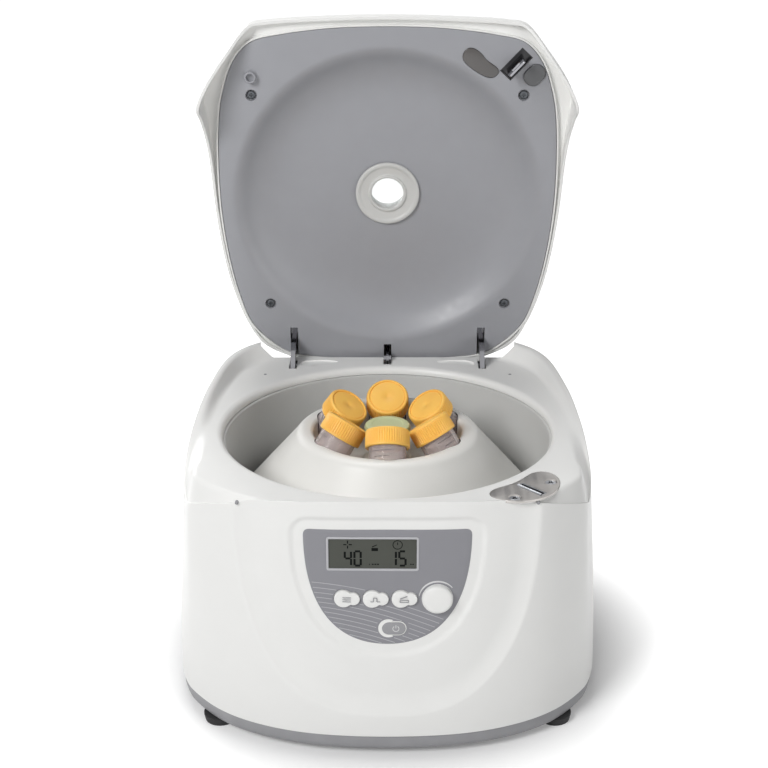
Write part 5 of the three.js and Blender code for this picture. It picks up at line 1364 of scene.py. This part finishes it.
CARRIED = {
    ("board_lacquer", "circuit_board"): ["control_board", "power_board"],
    ("dark_moulding", "dark_plastic"): ["power_switch", "latch_housing"],
    ("steel_brushed", "steel"): [
        "latch_bolt", "hinge_bracket_1", "hinge_bracket_2", "hinge_pin_1", "hinge_pin_2", "strut_bracket",
        "motor_mount", "drive_shaft",
    ],
    ("motor_paint", "motor_metal"): ["strut_cylinder", "motor_body"],
    ("chrome_polished", "chrome"): ["strut_rod", "strut_lug"],
    ("rubber_matt", "rubber"): ["damper_1", "damper_2", "damper_3", "shaft_seal"],
}


def build_carried():
    for (look, slot), names in CARRIED.items():
        for name in names:
            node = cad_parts[name]
            node.data.materials.clear()
            node.data.materials.append(material(look))


# ---------- stage


def area_light(name, place, size, power):
    """A round lamp that faces the middle of the instrument."""
    data = bpy.data.lights.new(name, "AREA")
    data.shape = "DISK"
    data.size = size
    data.energy = power
    lamp = bpy.data.objects.new(name, data)
    lamp.location = place
    lamp.rotation_euler = (Vector((0, 0, 0.22)) - Vector(place)).to_track_quat("-Z", "Y").to_euler()
    bpy.context.scene.collection.objects.link(lamp)


def seen_directly(tree):
    """1 where the camera, a reflection or clear plastic looks at the stage, 0 for its light."""
    paths = add_node(tree, "LightPath")
    last = paths.outputs["Is Camera Ray"]
    for name in ("Is Glossy Ray", "Is Transmission Ray"):
        either = add_node(tree, "Math", operation="MAXIMUM")
        tree.links.new(last, either.inputs[0])
        tree.links.new(paths.outputs[name], either.inputs[1])
        last = either.outputs[0]
    return last


def paper_material(stage):
    """Pale paper that keeps the shadow near the object and turns plain white further off."""
    paper = bpy.data.materials.new("stage_paper")
    paper.use_nodes = True
    tree = paper.node_tree
    tree.nodes.clear()
    link = tree.links.new
    far = add_node(tree, "VectorMath", operation="LENGTH")
    link(add_node(tree, "TexCoord").outputs["Object"], far.inputs[0])
    fade = add_node(tree, "MapRange", {
        "From Min": stage.shadow_reach, "From Max": stage.shadow_reach * 1.9,
        "To Min": stage.floor_lift, "To Max": 1,
    }, interpolation_type="SMOOTHSTEP")
    link(far.outputs["Value"], fade.inputs["Value"])
    scale = add_node(tree, "Math", operation="MULTIPLY")
    link(seen_directly(tree), scale.inputs[0])
    link(fade.outputs["Result"], scale.inputs[1])
    flat = add_node(tree, "BsdfDiffuse", {"Color": (*stage.floor_colour, 1)})
    glow = add_node(tree, "Emission", {"Color": (1, 1, 1, 1)})
    link(scale.outputs[0], glow.inputs["Strength"])
    both = add_node(tree, "AddShader")
    link(flat.outputs[0], both.inputs[0])
    link(glow.outputs[0], both.inputs[1])
    link(both.outputs[0], add_node(tree, "OutputMaterial").inputs["Surface"])
    return paper


def build_stage():
    scene = bpy.context.scene
    stage = scene.centrifuge_stage
    half = 14
    data = bpy.data.meshes.new("floor")
    corners = [(-half, -half, 0), (half, -half, 0), (half, half, 0), (-half, half, 0)]
    data.from_pydata(corners, [], [(0, 1, 2, 3)])
    data.materials.append(paper_material(stage))
    floor = bpy.data.objects.new("floor", data)
    scene.collection.objects.link(floor)
    scene.world = bpy.data.worlds.new("stage_world")
    scene.world.use_nodes = True
    tree = scene.world.node_tree
    lit = tree.nodes["Background"]
    lit.inputs["Color"].default_value = (1, 1, 1, 1)
    lit.inputs["Strength"].default_value = stage.world_strength
    seen = add_node(tree, "Background", {"Color": (1, 1, 1, 1), "Strength": 1})
    blend = add_node(tree, "MixShader")
    tree.links.new(seen_directly(tree), blend.inputs[0])
    tree.links.new(lit.outputs[0], blend.inputs[1])
    tree.links.new(seen.outputs[0], blend.inputs[2])
    tree.links.new(blend.outputs[0], tree.nodes["World Output"].inputs["Surface"])
    area_light("key", (-1.1, -1.45, 1.5), 0.9, stage.key_power)
    area_light("fill", (1.6, -1.35, 0.42), 1.5, stage.fill_power)
    area_light("top", (-0.3, 0.8, 2.22), 1.2, stage.top_power)
    area_light("back", (-1.1, 1.9, 0.45), 1.2, stage.back_power)
    data = bpy.data.cameras.new("camera")
    data.lens = 70.15
    data.sensor_width = 36
    data.shift_x = -0.0046
    data.clip_end = 50
    camera = bpy.data.objects.new("camera", data)
    camera.location = (0, -1.10265, 0.6588)
    camera.rotation_euler = (math.radians(90 - 21.35), 0, 0)
    scene.collection.objects.link(camera)
    scene.camera = camera
    scene.view_settings.view_transform = "Standard"


# ---------- properties, operators and panel


def colour_property(name, code):
    return bpy.props.FloatVectorProperty(
        name=name, description=f"Base colour of the {name.lower()}", subtype="COLOR", size=3,
        min=0, max=1, default=srgb(code),
    )


def number_property(name, description, value, **limits):
    return bpy.props.FloatProperty(name=name, description=description, default=value, **limits)


def length_property(name, description, value_mm):
    return number_property(name, description, value_mm * MM, unit="LENGTH")


def power_property(name, description, value):
    return number_property(name, description, value, unit="POWER", min=0)


class CentrifugeSizes(bpy.types.PropertyGroup):
    """Sizes of the visible forms that a user would change."""

    scoop_depth: length_property("Scoop depth", "Depth of the scoop in the front wall", 4.6)
    scoop_band: length_property("Scoop band", "Width of the soft edge of the scoop", 17.6)
    dish_depth: length_property("Panel dish depth", "Depth of the shallow dish round the control panel", 2)
    dish_band: length_property("Panel dish band", "Width of the slope round the control panel", 11)
    stripe_count: bpy.props.IntProperty(
        name="Stripe count", description="Number of fine lines on the panel", min=2, default=11,
    )
    stripe_width: length_property("Stripe width", "Width of one fine line", 0.42)


class CentrifugeColours(bpy.types.PropertyGroup):
    """Base colours of the finishes."""

    white_colour: colour_property("White moulding", "EDEDEB")
    chamber_colour: colour_property("Chamber moulding", "C8C8C6")
    liner_colour: colour_property("Lid liner", "9A9BA0")
    pad_colour: colour_property("Latch pad", "5E5F61")
    liquid_colour: colour_property("Tube contents", "A28C95")
    base_colour: colour_property("Base pan", "949497")
    panel_colour: colour_property("Panel film", "8E8E93")
    print_colour: colour_property("Pale print", "D9D9DA")
    stripe_colour: colour_property("Stripe print", "B9B9BD")
    ink_colour: colour_property("Display ink", "101211")
    lcd_colour: colour_property("Display", "4E504A")
    rotor_colour: colour_property("Rotor", "E6E5E1")
    # painted shade in the rotor's bores
    bore_shade_colour: colour_property("Rotor bore painted shade", "4A3F3E")
    nut_colour: colour_property("Rotor nut", "C5CFA5")
    cap_colour: colour_property("Screw cap", "FFC65E")
    tube_colour: colour_property("Sample tube", "F0E6E4")
    pane_colour: colour_property("Window pane", "F4F6F6")
    plate_colour: colour_property("Latch plate", "A29F9C")
    steel_colour: colour_property("Steel", "A2A4A8")
    # darker than bright chrome: a painted dark reflection of the surroundings
    chrome_reflection_colour: colour_property("Chrome", "8E8E92")
    motor_colour: colour_property("Motor paint", "55585C")
    dark_colour: colour_property("Dark moulding", "2B2B2D")
    gloss_colour: colour_property("Dark gloss", "474341")
    rubber_colour: colour_property("Rubber", "242425")
    board_colour: colour_property("Circuit board", "2F6A45")


class CentrifugeStage(bpy.types.PropertyGroup):
    """Floor and lamps."""

    floor_colour: bpy.props.FloatVectorProperty(
        name="Floor colour", description="Colour of the floor and backdrop", subtype="COLOR", size=3,
        min=0, max=1, default=(0.78, 0.78, 0.78),
    )
    floor_lift: number_property(
        "Floor lift", "Extra white of the floor as the camera sees it", 0.1, min=0, max=1,
    )
    shadow_reach: number_property(
        "Shadow reach", "Distance from the middle at which the shadow starts to fade", 0.15,
        unit="LENGTH", min=0.1,
    )
    world_strength: number_property("World strength", "Strength of the light from all round", 0.08, min=0)
    key_power: power_property("Key power", "Power of the main lamp", 32)
    fill_power: power_property("Fill power", "Power of the lamp on the right", 13)
    top_power: power_property("Top power", "Power of the lamp above", 20)
    back_power: power_property("Back power", "Power of the lamp behind", 10)


class BuildHousing(bpy.types.Operator):
    """Builds the body housing with its scoop, deck, trough and slots"""

    bl_idname = "centrifuge.housing"
    bl_label = "Body housing"

    def execute(self, context):
        build_housing()
        return {"FINISHED"}


class BuildBase(bpy.types.Operator):
    """Builds the base pan, its feet and screws"""

    bl_idname = "centrifuge.base"
    bl_label = "Base pan and feet"

    def execute(self, context):
        build_base()
        return {"FINISHED"}


class BuildChamber(bpy.types.Operator):
    """Builds the rotor chamber's liner"""

    bl_idname = "centrifuge.chamber"
    bl_label = "Rotor chamber"

    def execute(self, context):
        build_chamber()
        return {"FINISHED"}


class BuildPanel(bpy.types.Operator):
    """Builds the control panel with its fine lines and signs"""

    bl_idname = "centrifuge.panel"
    bl_label = "Control panel"

    def execute(self, context):
        build_panel()
        build_stripes()
        build_marks()
        return {"FINISHED"}


class BuildDisplay(bpy.types.Operator):
    """Builds the display, its frame and its figures"""

    bl_idname = "centrifuge.display"
    bl_label = "Display"

    def execute(self, context):
        build_lcd()
        return {"FINISHED"}


class BuildControls(bpy.types.Operator):
    """Builds the push buttons, the start key and the speed knob"""

    bl_idname = "centrifuge.controls"
    bl_label = "Buttons and knob"

    def execute(self, context):
        build_buttons()
        build_knob()
        return {"FINISHED"}


class BuildLatch(bpy.types.Operator):
    """Builds the latch plate, its screws and the deck's small parts"""

    bl_idname = "centrifuge.latch"
    bl_label = "Latch plate"

    def execute(self, context):
        build_latch()
        build_deck_marks()
        return {"FINISHED"}


class BuildRear(bpy.types.Operator):
    """Builds the power inlet in the rear wall"""

    bl_idname = "centrifuge.rear"
    bl_label = "Power inlet"

    def execute(self, context):
        build_rear()
        return {"FINISHED"}


class BuildRotor(bpy.types.Operator):
    """Builds the rotor and its nut"""

    bl_idname = "centrifuge.rotor"
    bl_label = "Rotor"

    def execute(self, context):
        build_rotor()
        return {"FINISHED"}


class BuildTubes(bpy.types.Operator):
    """Builds the six tubes and their screw caps"""

    bl_idname = "centrifuge.tubes"
    bl_label = "Tubes and caps"

    def execute(self, context):
        build_tubes()
        return {"FINISHED"}


class BuildLid(bpy.types.Operator):
    """Builds the lid's shell, liner, window and latch hook"""

    bl_idname = "centrifuge.lid"
    bl_label = "Lid"

    def execute(self, context):
        build_lid()
        build_liner()
        build_window()
        build_hook()
        return {"FINISHED"}


class BuildArms(bpy.types.Operator):
    """Builds the curved hinge arms"""

    bl_idname = "centrifuge.arms"
    bl_label = "Hinge arms"

    def execute(self, context):
        build_arms()
        return {"FINISHED"}


class FinishFrame(bpy.types.Operator):
    """Gives the parts that stay from the frame their finishes"""

    bl_idname = "centrifuge.carried"
    bl_label = "Inner parts"

    def execute(self, context):
        build_carried()
        return {"FINISHED"}


class BuildStage(bpy.types.Operator):
    """Builds the floor, the lamps, the world and the camera"""

    bl_idname = "centrifuge.stage"
    bl_label = "Stage"

    def execute(self, context):
        build_stage()
        return {"FINISHED"}


OPERATORS = (
    BuildHousing, BuildBase, BuildChamber, BuildPanel, BuildDisplay, BuildControls, BuildLatch,
    BuildRear, BuildRotor, BuildTubes, BuildLid, BuildArms, FinishFrame, BuildStage,
)


class CentrifugePanel(bpy.types.Panel):
    """Lists the pieces and their settings"""

    bl_idname = "VIEW3D_PT_centrifuge"
    bl_label = "Centrifuge"
    bl_space_type = "VIEW_3D"
    bl_region_type = "UI"
    bl_category = "Centrifuge"

    def draw(self, context):
        for group in ("centrifuge_sizes", "centrifuge_colours", "centrifuge_stage"):
            settings = getattr(context.scene, group)
            box = self.layout.box()
            for name in type(settings).__annotations__:
                box.prop(settings, name)
        for operator in OPERATORS:
            self.layout.operator(operator.bl_idname)


GROUPS = {
    "centrifuge_sizes": CentrifugeSizes,
    "centrifuge_colours": CentrifugeColours,
    "centrifuge_stage": CentrifugeStage,
}
CLASSES = (*GROUPS.values(), *OPERATORS, CentrifugePanel)


def register():
    for cls in CLASSES:
        bpy.utils.register_class(cls)
    for name, group in GROUPS.items():
        setattr(bpy.types.Scene, name, bpy.props.PointerProperty(type=group))


def unregister():
    for name in GROUPS:
        delattr(bpy.types.Scene, name)
    for cls in reversed(CLASSES):
        bpy.utils.unregister_class(cls)


def main():
    register()
    for operator in OPERATORS:
        family, name = operator.bl_idname.split(".")
        getattr(getattr(bpy.ops, family), name)()


if __name__ == "__main__":
    main()
